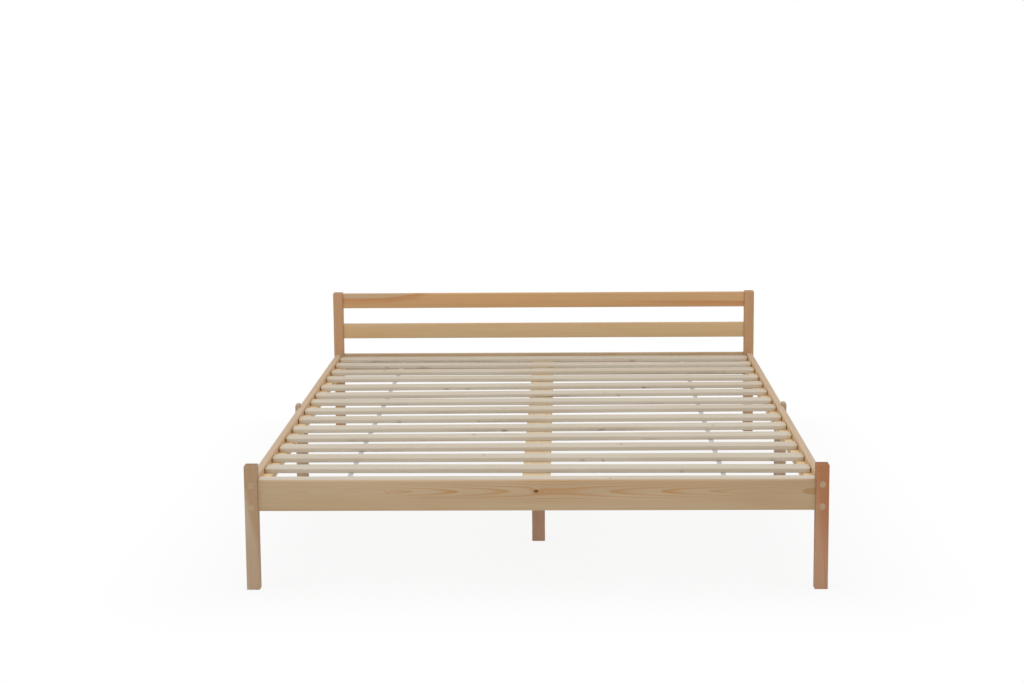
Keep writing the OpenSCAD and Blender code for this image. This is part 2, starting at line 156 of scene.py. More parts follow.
class Wiring:
    """Adds nodes to one node tree and joins them."""

    def __init__(self, tree: bpy.types.NodeTree) -> None:
        """Keeps the tree that is worked on, which is a material's, world's or group's."""
        self.tree = tree

    def node(self, kind: str, feeds: dict | None = None, **settings) -> bpy.types.Node:
        """Adds one node.

        Args:
            kind: Blender's name for the kind of node.
            feeds: Input names or numbers, each with a value or another node's output.
            settings: Properties of the node itself.

        Returns:
            The new node.
        """
        made = self.tree.nodes.new(kind)
        made.location = (200 * (len(self.tree.nodes) % 12), -220 * (len(self.tree.nodes) // 12))
        for name, value in settings.items():
            setattr(made, name, value)
        for name, value in (feeds or {}).items():
            self.feed(made.inputs[name], value)
        return made

    def feed(self, socket: bpy.types.NodeSocket, value: object) -> None:
        """Joins an output to a socket, or sets the socket's own value.

        Args:
            socket: The input that is fed.
            value: Another node's output, a number, a vector or a colour.
        """
        if isinstance(value, bpy.types.NodeSocket):
            self.tree.links.new(value, socket)
        elif socket.type == "RGBA" and len(value) == 3:
            socket.default_value = (*value, 1.0)
        else:
            socket.default_value = value

    def maths(self, kind: str, first: object, second: object = 0.0) -> bpy.types.NodeSocket:
        """Works out one operation on two numbers, named as in Blender's Math node."""
        return self.node("ShaderNodeMath", {0: first, 1: second}, operation=kind).outputs[0]

    def add(self, first: object, *more: object) -> object:
        """Adds numbers up from the first to the last.

        Args:
            first: The first number, or another node's output.
            more: The others.

        Returns:
            The sum.
        """
        for value in more:
            first = self.maths("ADD", first, value)
        return first

    def times(self, first: object, *more: object) -> object:
        """Multiplies numbers from the first to the last.

        Args:
            first: The first number, or another node's output.
            more: The others.

        Returns:
            The product.
        """
        for value in more:
            first = self.maths("MULTIPLY", first, value)
        return first

    def bell(self, value: object) -> bpy.types.NodeSocket:
        """Works out a bell curve: e to the power of minus the value squared."""
        return self.maths("EXPONENT", self.times(value, value, -1.0))

    def vector(self, kind: str, first: object, second: object) -> bpy.types.NodeSocket:
        """Works out one operation on two vectors, which gives a vector."""
        made = self.node("ShaderNodeVectorMath", {0: first, 1: second}, operation=kind)
        return made.outputs["Vector"]

    def span(
        self, value: object, low: object, high: object, start: float = 0.0, end: float = 1.0
    ) -> bpy.types.NodeSocket:
        """Eases a value from start to end while it goes from low to high.

        Args:
            value: The value that is read.
            low: Where the easing starts.
            high: Where it ends.
            start: The result below low.
            end: The result above high.

        Returns:
            The eased value.
        """
        feeds = {"Value": value, "From Min": low, "From Max": high, "To Min": start, "To Max": end}
        made = self.node("ShaderNodeMapRange", feeds, interpolation_type="SMOOTHSTEP")
        return made.outputs["Result"]

    def noise(self, place: object, stretch: Point, detail: float = 2.0) -> bpy.types.NodeSocket:
        """Reads soft noise that is stretched by its own amount along each axis.

        Args:
            place: The point that is read, in metres.
            stretch: Waves a metre along X, Y and Z.
            detail: How many finer layers are added.

        Returns:
            A value around one half.
        """
        scaled = self.vector("MULTIPLY", place, stretch)
        feeds = {"Vector": scaled, "Scale": 1.0, "Detail": detail, "Roughness": 0.5}
        return self.node("ShaderNodeTexNoise", feeds).outputs[0]

    def stray(self, place: object, stretch: Point, detail: float = 2.0) -> object:
        """Reads the same noise with its middle moved down to zero."""
        return self.add(self.noise(place, stretch, detail), -0.5)

    def mix(
        self, share: object, first: object, second: object, blend: str = "MIX"
    ) -> bpy.types.NodeSocket:
        """Mixes two colours.

        Args:
            share: How much of the second colour is taken.
            first: The colour at share 0.
            second: The colour at share 1.
            blend: Blender's name for the way they are mixed.

        Returns:
            The mixed colour's output.
        """
        feeds = {0: share, 6: first, 7: second}
        made = self.node("ShaderNodeMix", feeds, data_type="RGBA", blend_type=blend)
        return made.outputs[2]

    def tinted(self, share: object, colour: object, tint: object) -> bpy.types.NodeSocket:
        """Multiplies a colour by a tint, as far as the share says."""
        return self.mix(share, colour, self.mix(1.0, colour, tint, "MULTIPLY"))


class Group:
    """A shader node group with named inputs and outputs, built once and shared."""

    def __init__(self, name: str, inputs: dict[str, object], outputs: dict[str, str]) -> None:
        """Makes an empty group.

        Args:
            name: The group's name.
            inputs: Each input's name with its first value, which also sets its kind.
            outputs: Each output's name with the kind of its socket.
        """
        self.tree = bpy.data.node_groups.new(name, "ShaderNodeTree")
        self.wires = Wiring(self.tree)
        for label, value in inputs.items():
            kind = "NodeSocketFloat"
            if isinstance(value, tuple):
                kind = "NodeSocketColor" if label.endswith("colour") else "NodeSocketVector"
            made = self.tree.interface.new_socket(name=label, in_out="INPUT", socket_type=kind)
            made.default_value = (*value, 1.0) if kind == "NodeSocketColor" else value
        for label, kind in outputs.items():
            self.tree.interface.new_socket(name=label, in_out="OUTPUT", socket_type=kind)
        self.into = self.wires.node("NodeGroupInput").outputs
        self.out = self.wires.node("NodeGroupOutput")

    def give(self, **results: object) -> None:
        """Joins results to the group's outputs, with underscores for spaces."""
        for label, value in results.items():
            self.wires.feed(self.out.inputs[label.replace("_", " ")], value)

    def place(self, wires: Wiring, feeds: dict[str, object]) -> bpy.types.Node:
        """Puts a copy of the group into another tree.

        Args:
            wires: The tree's wiring.
            feeds: Values or outputs for the group's inputs.

        Returns:
            The group node.
        """
        made = wires.node("ShaderNodeGroup", node_tree=self.tree)
        for label, value in feeds.items():
            wires.feed(made.inputs[label], value)
        return made


@dataclass(frozen=True)
class KnotEdge:
    """How a knot's edge looks, in sizes of the knot.

    Attributes:
        stray: How far soft noise moves the edge.
        inset: What is taken off again, so that the knot keeps its size.
        body_full: Where the knot's own colour starts to fade.
        body_gone: Where it has faded.
        rim_start: Where the dark rim starts.
        rim_full: Where it is darkest.
        rim_gone: Where it has faded.
    """

    stray: float = 0.35
    inset: float = 0.17
    body_full: float = 0.75
    body_gone: float = 1.05
    rim_start: float = 0.7
    rim_full: float = 1.0
    rim_gone: float = 1.5


def build_knot_group(edge: KnotEdge) -> Group:
    """Builds the group that draws one knot and bends the rings round it.

    The distance from the knot is the length of (place - centre) times a squash vector,
    whose zero lets the knot run right through the board, plus noise that makes its edge
    ragged. The bend is a bell curve of that distance. The body is 1 inside a distance
    of about one, and the rim is a ring round it.

    Args:
        edge: How the knot's edge looks.

    Returns:
        The finished group.
    """
    group = Group(
        "knot",
        {"Place": (0.0, 0.0, 0.0), "Centre": (0.0, 0.0, 0.0), "Squash": (1.0, 1.0, 1.0),
         "Reach": 3.0, "Bend": 0.004},
        {"Bend": "NodeSocketFloat", "Body": "NodeSocketFloat", "Rim": "NodeSocketFloat"},
    )
    wires = group.wires
    into = group.into
    offset = wires.vector("SUBTRACT", into["Place"], into["Centre"])
    squashed = wires.vector("MULTIPLY", offset, into["Squash"])
    length = wires.node("ShaderNodeVectorMath", {0: squashed}, operation="LENGTH")
    ragged = wires.noise(squashed, stretch=(2.1, 2.1, 2.1), detail=1.0)
    distance = wires.add(length.outputs["Value"], wires.times(ragged, edge.stray), -edge.inset)
    bell = wires.bell(wires.maths("DIVIDE", distance, into["Reach"]))
    rise = wires.span(distance, edge.rim_start, edge.rim_full)
    fall = wires.span(distance, edge.rim_full, edge.rim_gone, 1.0, 0.0)
    group.give(
        Bend=wires.times(bell, into["Bend"]),
        Body=wires.span(distance, edge.body_full, edge.body_gone, 1.0, 0.0),
        Rim=wires.times(rise, fall),
    )
    return group


@dataclass(frozen=True)
class Growth:
    """Numbers that all the pine shares. Places along a board are measured from its apex.

    Attributes:
        blunt: How far from the apex the cone's tip is rounded off.
        jitter: How far quick noise moves the rings.
        uneven_waves: How many waves the rings' unevenness has in one ring.
        late_start: The share of a ring at which its late wood starts.
        late_full: The share at which it is darkest.
        late_drop: The share at which it starts to drop back.
        late_least: How dark the late wood of the palest ring is.
        patch_start: The noise above which warmer patches start.
        patch_full: The noise above which they are complete.
        rim_fades: Where along the board the heartwood's rim starts to fade.
        rim_gone: Where it has faded.
        rim_returns: Where it starts to come back.
        rim_back: Where it is complete again.
        wash_start: Where the wash of heartwood colour starts.
        wash_full: Where it is complete.
        arch_most: The arch above which the late wood gets no darker at the tips.
        tip_near: How far from the apex the arches' late wood is darkest.
        tip_far: How far from it that late wood is palest.
        tip_pale: The share of the darkening that is left there, below 0 where it turns
            into paling.
        tip_gain: How strongly an arch darkens its late wood.
        depth: How much the fibres and the streaks each change the brightness.
        rough: How matt the early wood is.
        late_gloss: How much less matt the late wood is.
        end_rough: How much more matt the end grain is.
        end_start: The share of a face's direction along the grain at which it starts to
            be end grain.
        end_full: The share at which it is end grain.
        relief: How deep the relief is.
    """

    blunt: float = 40 * MM
    jitter: float = 1.2 * MM
    uneven_waves: float = 0.37
    late_start: float = 0.45
    late_full: float = 0.9
    late_drop: float = 0.93
    late_least: float = 0.45
    patch_start: float = 0.38
    patch_full: float = 0.66
    rim_fades: float = 0.25
    rim_gone: float = 0.5
    rim_returns: float = 0.85
    rim_back: float = 1.3
    wash_start: float = 0.2
    wash_full: float = 0.55
    arch_most: float = 0.025
    tip_near: float = 0.3
    tip_far: float = 0.5
    tip_pale: float = -0.5
    tip_gain: float = 30.0
    depth: float = 0.16
    rough: float = 0.62
    late_gloss: float = 0.12
    end_rough: float = 0.15
    end_start: float = 0.75
    end_full: float = 0.95
    relief: float = 0.2 * MM


def build_pine_group(growth: Growth) -> Group:
    """Builds the group that draws the growth rings, fibres and tints of pine.

    A point's radius is its distance from the pith line, plus a cone that widens away
    from an apex along the grain, plus soft noise. The arch is a cone the other way that
    is only strong close to the pith's own height, by a bell curve, and it draws the
    nested arches of a board sawn from the side of a log. The radius over the ring width
    gives the ring's number, and its fraction goes from pale early wood to a dark late
    edge and drops back at once. The arches' late wood is darker near the apex and paler
    further along. Heartwood is where the radius is small. It can have a darker rim just
    inside its boundary, which fades in the middle of the board, and the sapwood can
    take on some of its colour further along, which is the wash.

    Args:
        growth: The numbers that all the pine shares.

    Returns:
        The finished group.
    """
    group = Group(
        "pine",
        {"Place": (0.0, 0.0, 0.0), "End": 0.0, "Bend": 0.0, "Knot": 0.0, "Knot rim": 0.0,
         "Ring width": 0.003, "Cone": 0.01, "Apex": 0.0, "Arch": 0.0,
         "Arch spread": 0.02, "Waver": 0.004, "Uneven": 1.6, "Late share": 0.5,
         "Heart radius": NO_HEART, "Heart edge": 0.004, "Heart bend": 0.0,
         "Heart rim": 0.0, "Rim depth": 0.01, "Wash": 0.0,
         "Early colour": (0.6, 0.4, 0.2), "Late colour": (0.5, 0.3, 0.1),
         "Patch colour": (0.6, 0.4, 0.2), "Heart colour": (0.5, 0.25, 0.1),
         "Knot colour": (0.1, 0.05, 0.02)},
        {"Colour": "NodeSocketColor", "Roughness": "NodeSocketFloat",
         "Height": "NodeSocketFloat"},
    )
    wires = group.wires
    into = group.into
    place = into["Place"]
    parts = wires.node("ShaderNodeSeparateXYZ", {0: place}).outputs
    across = wires.times(parts[1], parts[1])
    deep = wires.times(parts[2], parts[2])
    distance = wires.maths("SQRT", wires.add(across, deep))
    along = wires.maths("SUBTRACT", parts[0], into["Apex"])
    blunted = wires.maths("SQRT", wires.add(wires.times(along, along), growth.blunt**2))
    level = wires.bell(wires.maths("DIVIDE", parts[2], into["Arch spread"]))
    slope = wires.maths("SUBTRACT", into["Cone"], wires.times(into["Arch"], level))
    slow = wires.stray(place, Waves.SLOW.stretch(), detail=1.0)
    quick = wires.stray(place, Waves.QUICK.stretch())
    radius = wires.add(
        distance, wires.times(blunted, slope), into["Bend"],
        wires.times(slow, into["Waver"]), wires.times(quick, growth.jitter),
    )

    ring = wires.maths("DIVIDE", radius, into["Ring width"])
    uneven = wires.node(
        "ShaderNodeTexNoise", {"W": ring, "Scale": growth.uneven_waves, "Detail": 1.0},
        noise_dimensions="1D",
    ).outputs[0]
    ring = wires.add(ring, wires.times(uneven, into["Uneven"]))
    phase = wires.maths("FRACT", ring)
    rise = wires.span(phase, growth.late_start, growth.late_full)
    drop = wires.span(phase, growth.late_drop, 1.0, 1.0, 0.0)
    strength = wires.node("ShaderNodeTexWhiteNoise", {"W": wires.maths("FLOOR", ring)},
                          noise_dimensions="1D").outputs["Value"]
    late = wires.times(rise, drop, wires.span(strength, 0.0, 1.0, growth.late_least, 1.0))

    fibre = wires.noise(place, Waves.FIBRE.stretch())
    streak = wires.noise(place, Waves.STREAK.stretch())
    patch = wires.noise(place, Waves.PATCH.stretch())
    warmth = wires.span(patch, growth.patch_start, growth.patch_full)

    heart_in = wires.maths("SUBTRACT", wires.add(radius, into["Heart bend"]),
                           into["Heart radius"])
    heart = wires.span(heart_in, 0.0, into["Heart edge"], 1.0, 0.0)
    inward = wires.maths("DIVIDE", heart_in, into["Rim depth"])
    near = wires.span(along, growth.rim_fades, growth.rim_gone, 1.0, 0.0)
    ends = wires.add(near, wires.span(along, growth.rim_returns, growth.rim_back))
    heart_rim = wires.times(heart, wires.span(inward, -1.0, 0.0),
                            wires.times(ends, into["Heart rim"]))
    wash = wires.times(wires.span(along, growth.wash_start, growth.wash_full), into["Wash"])
    heart = wires.maths("MAXIMUM", heart, wash)

    fading = wires.span(wires.maths("ABSOLUTE", along), growth.tip_near, growth.tip_far,
                        1.0, growth.tip_pale)
    tip = wires.times(level, wires.maths("MINIMUM", into["Arch"], growth.arch_most), fading,
                      growth.tip_gain)
    share = wires.times(late, into["Late share"], wires.add(tip, 1.0))
    share = wires.maths("MINIMUM", share, 1.0)
    colour = wires.mix(warmth, into["Early colour"], into["Patch colour"])
    colour = wires.mix(heart, colour, into["Heart colour"])
    colour = wires.tinted(heart_rim, colour, HEART_RIM_TINT)
    colour = wires.mix(share, colour, into["Late colour"])
    tone = wires.add(wires.times(streak, growth.depth), wires.times(fibre, growth.depth),
                     1.0 - growth.depth)
    toned = wires.node("ShaderNodeCombineColor", {0: tone, 1: tone, 2: tone}).outputs[0]
    colour = wires.mix(1.0, colour, toned, "MULTIPLY")
    colour = wires.tinted(into["End"], colour, END_TINT)
    colour = wires.tinted(into["Knot rim"], colour, KNOT_RIM_TINT)
    colour = wires.mix(into["Knot"], colour, into["Knot colour"])

    rough = wires.maths("SUBTRACT", growth.rough, wires.times(late, growth.late_gloss))
    rough = wires.add(rough, wires.times(into["End"], growth.end_rough))
    height = wires.add(wires.times(fibre, 0.5), wires.times(late, 0.5))
    group.give(Colour=colour, Roughness=rough, Height=height)
    return group


@dataclass(frozen=True)
class Knot:
    """One knot, or a swelling of the rings alone, placed in the part's own frame.

    Attributes:
        centre: The knot's centre.
        half: Half its size along each axis, with 0 for the axis that it runs along.
        bend: How far the rings are pushed out at its centre.
        reach: How many times its size the bend reaches.
        shown: Whether the knot itself shows, and not only the bend round it.
    """

    centre: Point
    half: Point
    bend: float = 0.004
    reach: float = 3.0
    shown: bool = True


@dataclass(frozen=True)
class Pine:
    """A pine finish.

    Attributes:
        early: The colour of the early wood.
        late: The colour of the late wood.
        patch: The colour of the early wood's warmer patches.
        heart: The colour of the heartwood.
        knot: The colour of the knots.
        late_share: How strongly the late wood shows.
        end: How dark the end grain is.
        bump: How strong the relief is.
        specular: How strong the gloss is.
    """

    early: Colour
    late: Colour
    patch: Colour
    heart: Colour = srgb(186, 130, 84)
    knot: Colour = srgb(96, 62, 40)
    late_share: float = 0.55
    end: float = 0.85
    bump: float = 0.25
    specular: float = 0.4

    def inputs(self) -> dict[str, object]:
        """Gives what the finish decides about the wood.

        Returns:
            Values for the pine group's inputs, by name.
        """
        return {"Late share": self.late_share, "Early colour": self.early,
                "Late colour": self.late, "Patch colour": self.patch,
                "Heart colour": self.heart, "Knot colour": self.knot}


@dataclass(frozen=True)
class Tint:
    """A change of colour towards or away from the sides of the bed.

    Attributes:
        start: The distance from the bed's middle at which it starts.
        full: The distance at which it is complete.
        times: What the colour is multiplied by there.
    """

    start: float
    full: float
    times: Colour


@dataclass(frozen=True)
class Sawn:
    """Where in its log a board was sawn, which decides how its rings look.

    Attributes:
        run: Which way the grain runs.
        pith: A point on the pith line, in the part's own frame.
        ring: The width of one growth ring.
        cone: How fast the rings widen away from the apex.
        apex: Where along the grain, from the pith point, the cone turns round.
        arch: How fast the arches narrow away from the apex.
        spread: How far above and below the pith's height the arches reach.
        waver: How far the rings stray.
        uneven: How much the rings' widths differ.
        heart: The radius of the heartwood, or NO_HEART.
        heart_edge: How soft the heartwood's edge is.
        heart_rim: How dark the rim inside that edge is.
        rim_depth: How far the rim reaches inward.
        wash: How much heartwood colour the sapwood takes on away from the apex.
        knots: The board's knots and swellings.
        heart_swells: Places where the heartwood alone reaches further out or less far.
    """

    run: Run
    pith: Point
    ring: float = 2.6 * MM
    cone: float = 0.012
    apex: float = 3.0
    arch: float = 0.0
    spread: float = 20 * MM
    waver: float = 9 * MM
    uneven: float = 1.6
    heart: float = NO_HEART
    heart_edge: float = 4 * MM
    heart_rim: float = 0.0
    rim_depth: float = 10 * MM
    wash: float = 0.0
    knots: tuple[Knot, ...] = ()
    heart_swells: tuple[Knot, ...] = ()

    def to_log(self) -> tuple[Matrix, Vector]:
        """Gives the turn and the shift that carry a point into the log's own frame."""
        turn = self.run.turn()
        return turn, -(turn @ Vector(self.pith))

    def inputs(self) -> dict[str, object]:
        """Gives what the place in the log decides about the wood.

        Returns:
            Values for the pine group's inputs, by name.
        """
        return {"Ring width": self.ring, "Cone": self.cone, "Apex": self.apex,
                "Arch": self.arch, "Arch spread": self.spread, "Uneven": self.uneven,
                "Waver": self.waver, "Heart radius": self.heart,
                "Heart edge": self.heart_edge, "Heart rim": self.heart_rim,
                "Rim depth": self.rim_depth, "Wash": self.wash}


class Workshop:
    """Makes the finishes and holds the shader groups that they share."""

    def __init__(self) -> None:
        """Builds the shared groups."""
        self.growth = Growth()
        self.knot = build_knot_group(KnotEdge())
        self.pine = build_pine_group(self.growth)

    def material(self, name: str) -> tuple[bpy.types.Material, Wiring, bpy.types.Node]:
        """Starts a material with a Principled shader.

        Args:
            name: The material's name.

        Returns:
            The material, its wiring and its shader node.
        """
        made = bpy.data.materials.new(name)
        made.use_nodes = True
        made.node_tree.nodes.clear()
        wires = Wiring(made.node_tree)
        shader = wires.node("ShaderNodeBsdfPrincipled")
        wires.node("ShaderNodeOutputMaterial", {"Surface": shader.outputs[0]})
        return made, wires, shader

    def relief(
        self, wires: Wiring, shader: bpy.types.Node, height: object, strength: float,
        depth: float
    ) -> None:
        """Gives a shader fine relief.

        Args:
            wires: The material's wiring.
            shader: Its shader node.
            height: The output that is read as a height.
            strength: How strongly the relief shows.
            depth: How deep it is.
        """
        feeds = {"Height": height, "Strength": strength, "Distance": depth}
        bump = wires.node("ShaderNodeBump", feeds)
        wires.feed(shader.inputs["Normal"], bump.outputs["Normal"])

    def knots(self, wires: Wiring, sawn: Sawn, place: object) -> dict[str, object]:
        """Places a board's knots and swellings and adds up what they do.

        Args:
            wires: The material's wiring.
            sawn: The board's place in its log.
            place: The point in the log's own frame.

        Returns:
            The pine group's inputs that they decide.
        """
        turn, shift = sawn.to_log()
        total: dict[str, object] = {"Bend": 0.0, "Heart bend": 0.0, "Knot": 0.0, "Knot rim": 0.0}
        for knot in sawn.knots + sawn.heart_swells:
            squash = turn @ Vector([1.0 / size if size else 0.0 for size in knot.half])
            made = self.knot.place(
                wires,
                {"Place": place, "Centre": tuple(turn @ Vector(knot.centre) + shift),
                 "Squash": tuple(abs(value) for value in squash),
                 "Reach": knot.reach, "Bend": knot.bend},
            ).outputs
            bent = "Heart bend" if knot in sawn.heart_swells else "Bend"
            total[bent] = wires.add(made["Bend"], total[bent])
            if knot.shown:
                total["Knot"] = wires.maths("MAXIMUM", made["Body"], total["Knot"])
                total["Knot rim"] = wires.maths("MAXIMUM", made["Rim"], total["Knot rim"])
        return total

    def bark_over(
        self, wires: Wiring, colour: object, place: object, attribute: str
    ) -> bpy.types.NodeSocket:
        """Lays broken bark over the wood's colour.

        Args:
            wires: The material's wiring.
            colour: The wood's colour.
            place: The point in the part's own frame.
            attribute: The attribute that says where bark is left.

        Returns:
            The colour with bark.
        """
        left = wires.node("ShaderNodeAttribute", attribute_name=attribute).outputs["Fac"]
        broken = wires.noise(place, Waves.BARK.stretch(), detail=3.0)
        left = wires.times(left, wires.span(broken, low=0.36, high=0.6, start=0.35))
        return wires.mix(left, colour, BARK)

    def timber(
        self, name: str, finish: Pine, sawn: Sawn, bark: str = "", tint: Tint | None = None
    ) -> bpy.types.Material:
        """Makes the material of one piece of wood.

        Args:
            name: The material's name.
            finish: Its colours.
            sawn: Its place in the log.
            bark: The attribute that says where bark is left, if there is one.
            tint: Its change of colour towards the sides, if there is one.

        Returns:
            The material.
        """
        made, wires, shader = self.material(name)
        shader.inputs["Specular IOR Level"].default_value = finish.specular
        turn, shift = sawn.to_log()
        where = wires.node("ShaderNodeTexCoord").outputs
        place = wires.node(
            "ShaderNodeMapping",
            {"Vector": where["Object"], "Location": tuple(shift),
             "Rotation": tuple(turn.to_euler())},
        ).outputs[0]
        facing = wires.node(
            "ShaderNodeVectorMath", {0: where["Normal"], 1: sawn.run.unit()},
            operation="DOT_PRODUCT",
        ).outputs["Value"]
        end = wires.span(wires.maths("ABSOLUTE", facing), self.growth.end_start,
                         self.growth.end_full, 0.0, finish.end)
        wood = self.pine.place(
            wires,
            {"Place": place, "End": end, **self.knots(wires, sawn, place), **sawn.inputs(),
             **finish.inputs()},
        ).outputs
        colour = wood["Colour"]
        if bark:
            colour = self.bark_over(wires, colour, where["Object"], bark)
        if tint:
            across = wires.node("ShaderNodeSeparateXYZ", {0: where["Object"]}).outputs[0]
            near = wires.span(wires.maths("ABSOLUTE", across), tint.start, tint.full)
            colour = wires.tinted(near, colour, tint.times)
        wires.feed(shader.inputs["Base Color"], colour)
        wires.feed(shader.inputs["Roughness"], wood["Roughness"])
        self.relief(wires, shader, wood["Height"], finish.bump, self.growth.relief)
        return made

    def metal(
        self, name: str, colour: Colour, tarnish: Colour, rough: float
    ) -> bpy.types.Material:
        """Makes plated steel with soft stains.

        Args:
            name: The material's name.
            colour: The plating's colour.
            tarnish: The colour of the stains.
            rough: How matt the plating is.

        Returns:
            The material.
        """
        made, wires, shader = self.material(name)
        shader.inputs["Metallic"].default_value = 1.0
        where = wires.node("ShaderNodeTexCoord").outputs["Object"]
        stains = wires.noise(where, stretch=(220.0, 220.0, 220.0), detail=3.0)
        scratches = wires.noise(where, stretch=(2600.0, 400.0, 2600.0))
        colours = wires.mix(wires.span(stains, low=0.4, high=0.7), colour, tarnish)
        wires.feed(shader.inputs["Base Color"], colours)
        wires.feed(shader.inputs["Roughness"], wires.add(wires.times(scratches, 0.2), rough))
        self.relief(wires, shader, scratches, strength=0.15, depth=0.1 * MM)
        return made

    def webbing(
        self, name: str, light: Colour, dark: Colour, warp_pitch: float = 1.0 * MM,
        weft_pitch: float = 1.3 * MM
    ) -> bpy.types.Material:
        """Makes woven tape from its own map, whose U crosses it and V runs along it.

        The weave is the product of two sine waves, one for each set of threads.

        Args:
            name: The material's name.
            light: The threads' colour.
            dark: The colour between the threads.
            warp_pitch: The length of two threads of the weave, across the tape.
            weft_pitch: The same along the tape.

        Returns:
            The material.
        """
        made, wires, shader = self.material(name)
        shader.inputs["Roughness"].default_value = 0.9
        shader.inputs["Specular IOR Level"].default_value = 0.2
        where = wires.node("ShaderNodeUVMap", uv_map="weave").outputs[0]
        parts = wires.node("ShaderNodeSeparateXYZ", {0: where}).outputs
        warp = wires.maths("SINE", wires.times(parts[0], 2 * math.pi / warp_pitch))
        weft = wires.maths("SINE", wires.times(parts[1], 2 * math.pi / weft_pitch))
        weave = wires.span(wires.times(warp, weft), low=-0.7, high=0.7)
        dirt = wires.noise(where, stretch=(60.0, 60.0, 60.0))
        colour = wires.mix(wires.times(weave, 0.8), dark, light)
        colour = wires.mix(wires.times(dirt, 0.3), colour, dark)
        wires.feed(shader.inputs["Base Color"], colour)
        self.relief(wires, shader, weave, strength=0.5, depth=0.3 * MM)
        return made


def new_piece(
    name: str, points: np.ndarray, faces: list, sharp: float = 35.0
) -> bpy.types.Object:
    """Makes a mesh object from points and faces, with smooth faces and sharp edges.

    Args:
        name: The object's name.
        points: An array of points, one row each, in metres.
        faces: Tuples of point numbers, each going round its face from outside.
        sharp: The angle in degrees above which an edge stays sharp.

    Returns:
        The object, linked into the scene.
    """
    mesh = bpy.data.meshes.new(name)
    mesh.from_pydata(points.reshape(-1, 3).tolist(), [], faces)
    mesh.validate()
    mesh.polygons.foreach_set("use_smooth", np.ones(len(mesh.polygons), bool))
    mesh.set_sharp_from_angle(angle=math.radians(sharp))
    piece = bpy.data.objects.new(name, mesh)
    bpy.context.scene.collection.objects.link(piece)
    return piece


def tube_faces(stations: int, around: int) -> list:
    """Gives the faces of a closed tube, with one face over each end.

    The points are numbered ring by ring. Each side face joins two neighbours of one
    ring with the same two of the next.

    Args:
        stations: The number of rings.
        around: The number of points in each ring.

    Returns:
        The faces.
    """
    ring, point = np.meshgrid(np.arange(stations - 1), np.arange(around), indexing="ij")
    first = ring * around + point
    second = ring * around + (point + 1) % around
    sides = np.stack([first, second, second + around, first + around], -1).reshape(-1, 4)
    start = tuple(range(around - 1, -1, -1))
    end = tuple(range((stations - 1) * around, stations * around))
    return [tuple(face) for face in sides.tolist()] + [start, end]


def eased_section(
    half_y: np.ndarray, half_z: np.ndarray, radii: np.ndarray, steps: int = 5
) -> np.ndarray:
    """Works out the outline of a board's section at many stations.

    Each corner is a quarter circle of its own radius: the corner's centre lies one
    radius inside both faces, and the outline is that centre plus the radius times the
    cosine and sine of an angle that goes once round.

    Args:
        half_y: Half the section's width at each station.
        half_z: Half its height at each station.
        radii: The four corner radii at each station, from +Y +Z round to +Y -Z.
        steps: How many points each corner has.

    Returns:
        An array of stations by points by (y, z).
    """
    signs = np.array([(1, 1), (-1, 1), (-1, -1), (1, -1)])
    angles = np.linspace(0, math.pi / 2, steps) + np.arange(4)[:, None] * math.pi / 2
    radius = radii[:, :, None]
    centre_y = signs[None, :, :1] * (half_y[:, None, None] - radius)
    centre_z = signs[None, :, 1:] * (half_z[:, None, None] - radius)
    outline = np.stack(
        [centre_y + radius * np.cos(angles), centre_z + radius * np.sin(angles)], -1
    )
    return outline.reshape(len(half_y), -1, 2)


@dataclass
class Board:
    """A straight board along X, drawn over the CAD node that it replaces.

    Attributes:
        node: The CAD node, whose box gives the board's size and place.
        body: The body that it rides on.
        slot: Its material slot, which is not used.
        edge_r: The radius of its long edges.
        end_r: How much its ends are eased.
        pitch: The distance between the stations along it.
        even_from: How far from each end the evenly spaced stations start.
        near_ends: The other stations' distances from each end.
    """

    node: str
    body: str
    slot: str
    edge_r: float = 3 * MM
    end_r: float = 0.4 * MM
    pitch: float = 10 * MM
    even_from: float = 12 * MM
    near_ends: np.ndarray = field(
        default_factory=lambda: np.array([0.0, 0.3, 1.0, 2.0, 3.5, 5.5, 8.0, 10.0]) * MM
    )

    def stations(self, length: float) -> np.ndarray:
        """Gives the stations' distances from the board's middle.

        They are evenly spaced, with a few more close to each end for the easing.

        Args:
            length: The board's length.

        Returns:
            The distances, from one end to the other.
        """
        half = length / 2
        count = max(2, round(length / self.pitch))
        even = np.linspace(-half + self.even_from, half - self.even_from, count)
        near = half - self.near_ends
        return np.concatenate([-near, even, near[::-1]])

    def section(self, x: np.ndarray, size: Vector) -> np.ndarray:
        """Works out the outline at each station, with the ends drawn in.

        Args:
            x: The stations' distances from the middle.
            size: The board's length, width and height.

        Returns:
            An array of stations by points by (y, z).
        """
        gap = size.x / 2 - np.abs(x)
        drawn_in = np.clip(self.end_r - gap, 0, None)
        radii = np.full((len(x), 4), self.edge_r)
        return eased_section(size.y / 2 - drawn_in, size.z / 2 - drawn_in, radii)

    def size(self) -> Vector:
        """Gives the board's length, width and height."""
        low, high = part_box(self.node)
        return high - low

    def build(self) -> bpy.types.Object:
        """Draws the board and sets it in place of its CAD node.

        Returns:
            The board's object.
        """
        low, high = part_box(self.node)
        size = self.size()
        middle = (low + high) / 2
        x = self.stations(size.x)
        outline = self.section(x, size)
        along = np.broadcast_to(x[:, None, None], (*outline.shape[:2], 1))
        points = np.concatenate([along, outline], -1) + np.array(middle)
        piece = new_piece(f"{self.node}_wood", points, tube_faces(len(x), outline.shape[1]))
        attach(piece, self.body)
        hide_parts(self.node)
        return piece


@dataclass(frozen=True)
class Wane:
    """A place on a slat's lower front edge where the log's own surface is left.

    Attributes:
        centre: Its distance from the slat's middle.
        reach: Half its length.
        depth: How much of the edge is missing there.
        bark: How dark the bark on it is, from 0 to 1.
    """

    centre: float
    reach: float
    depth: float
    bark: float


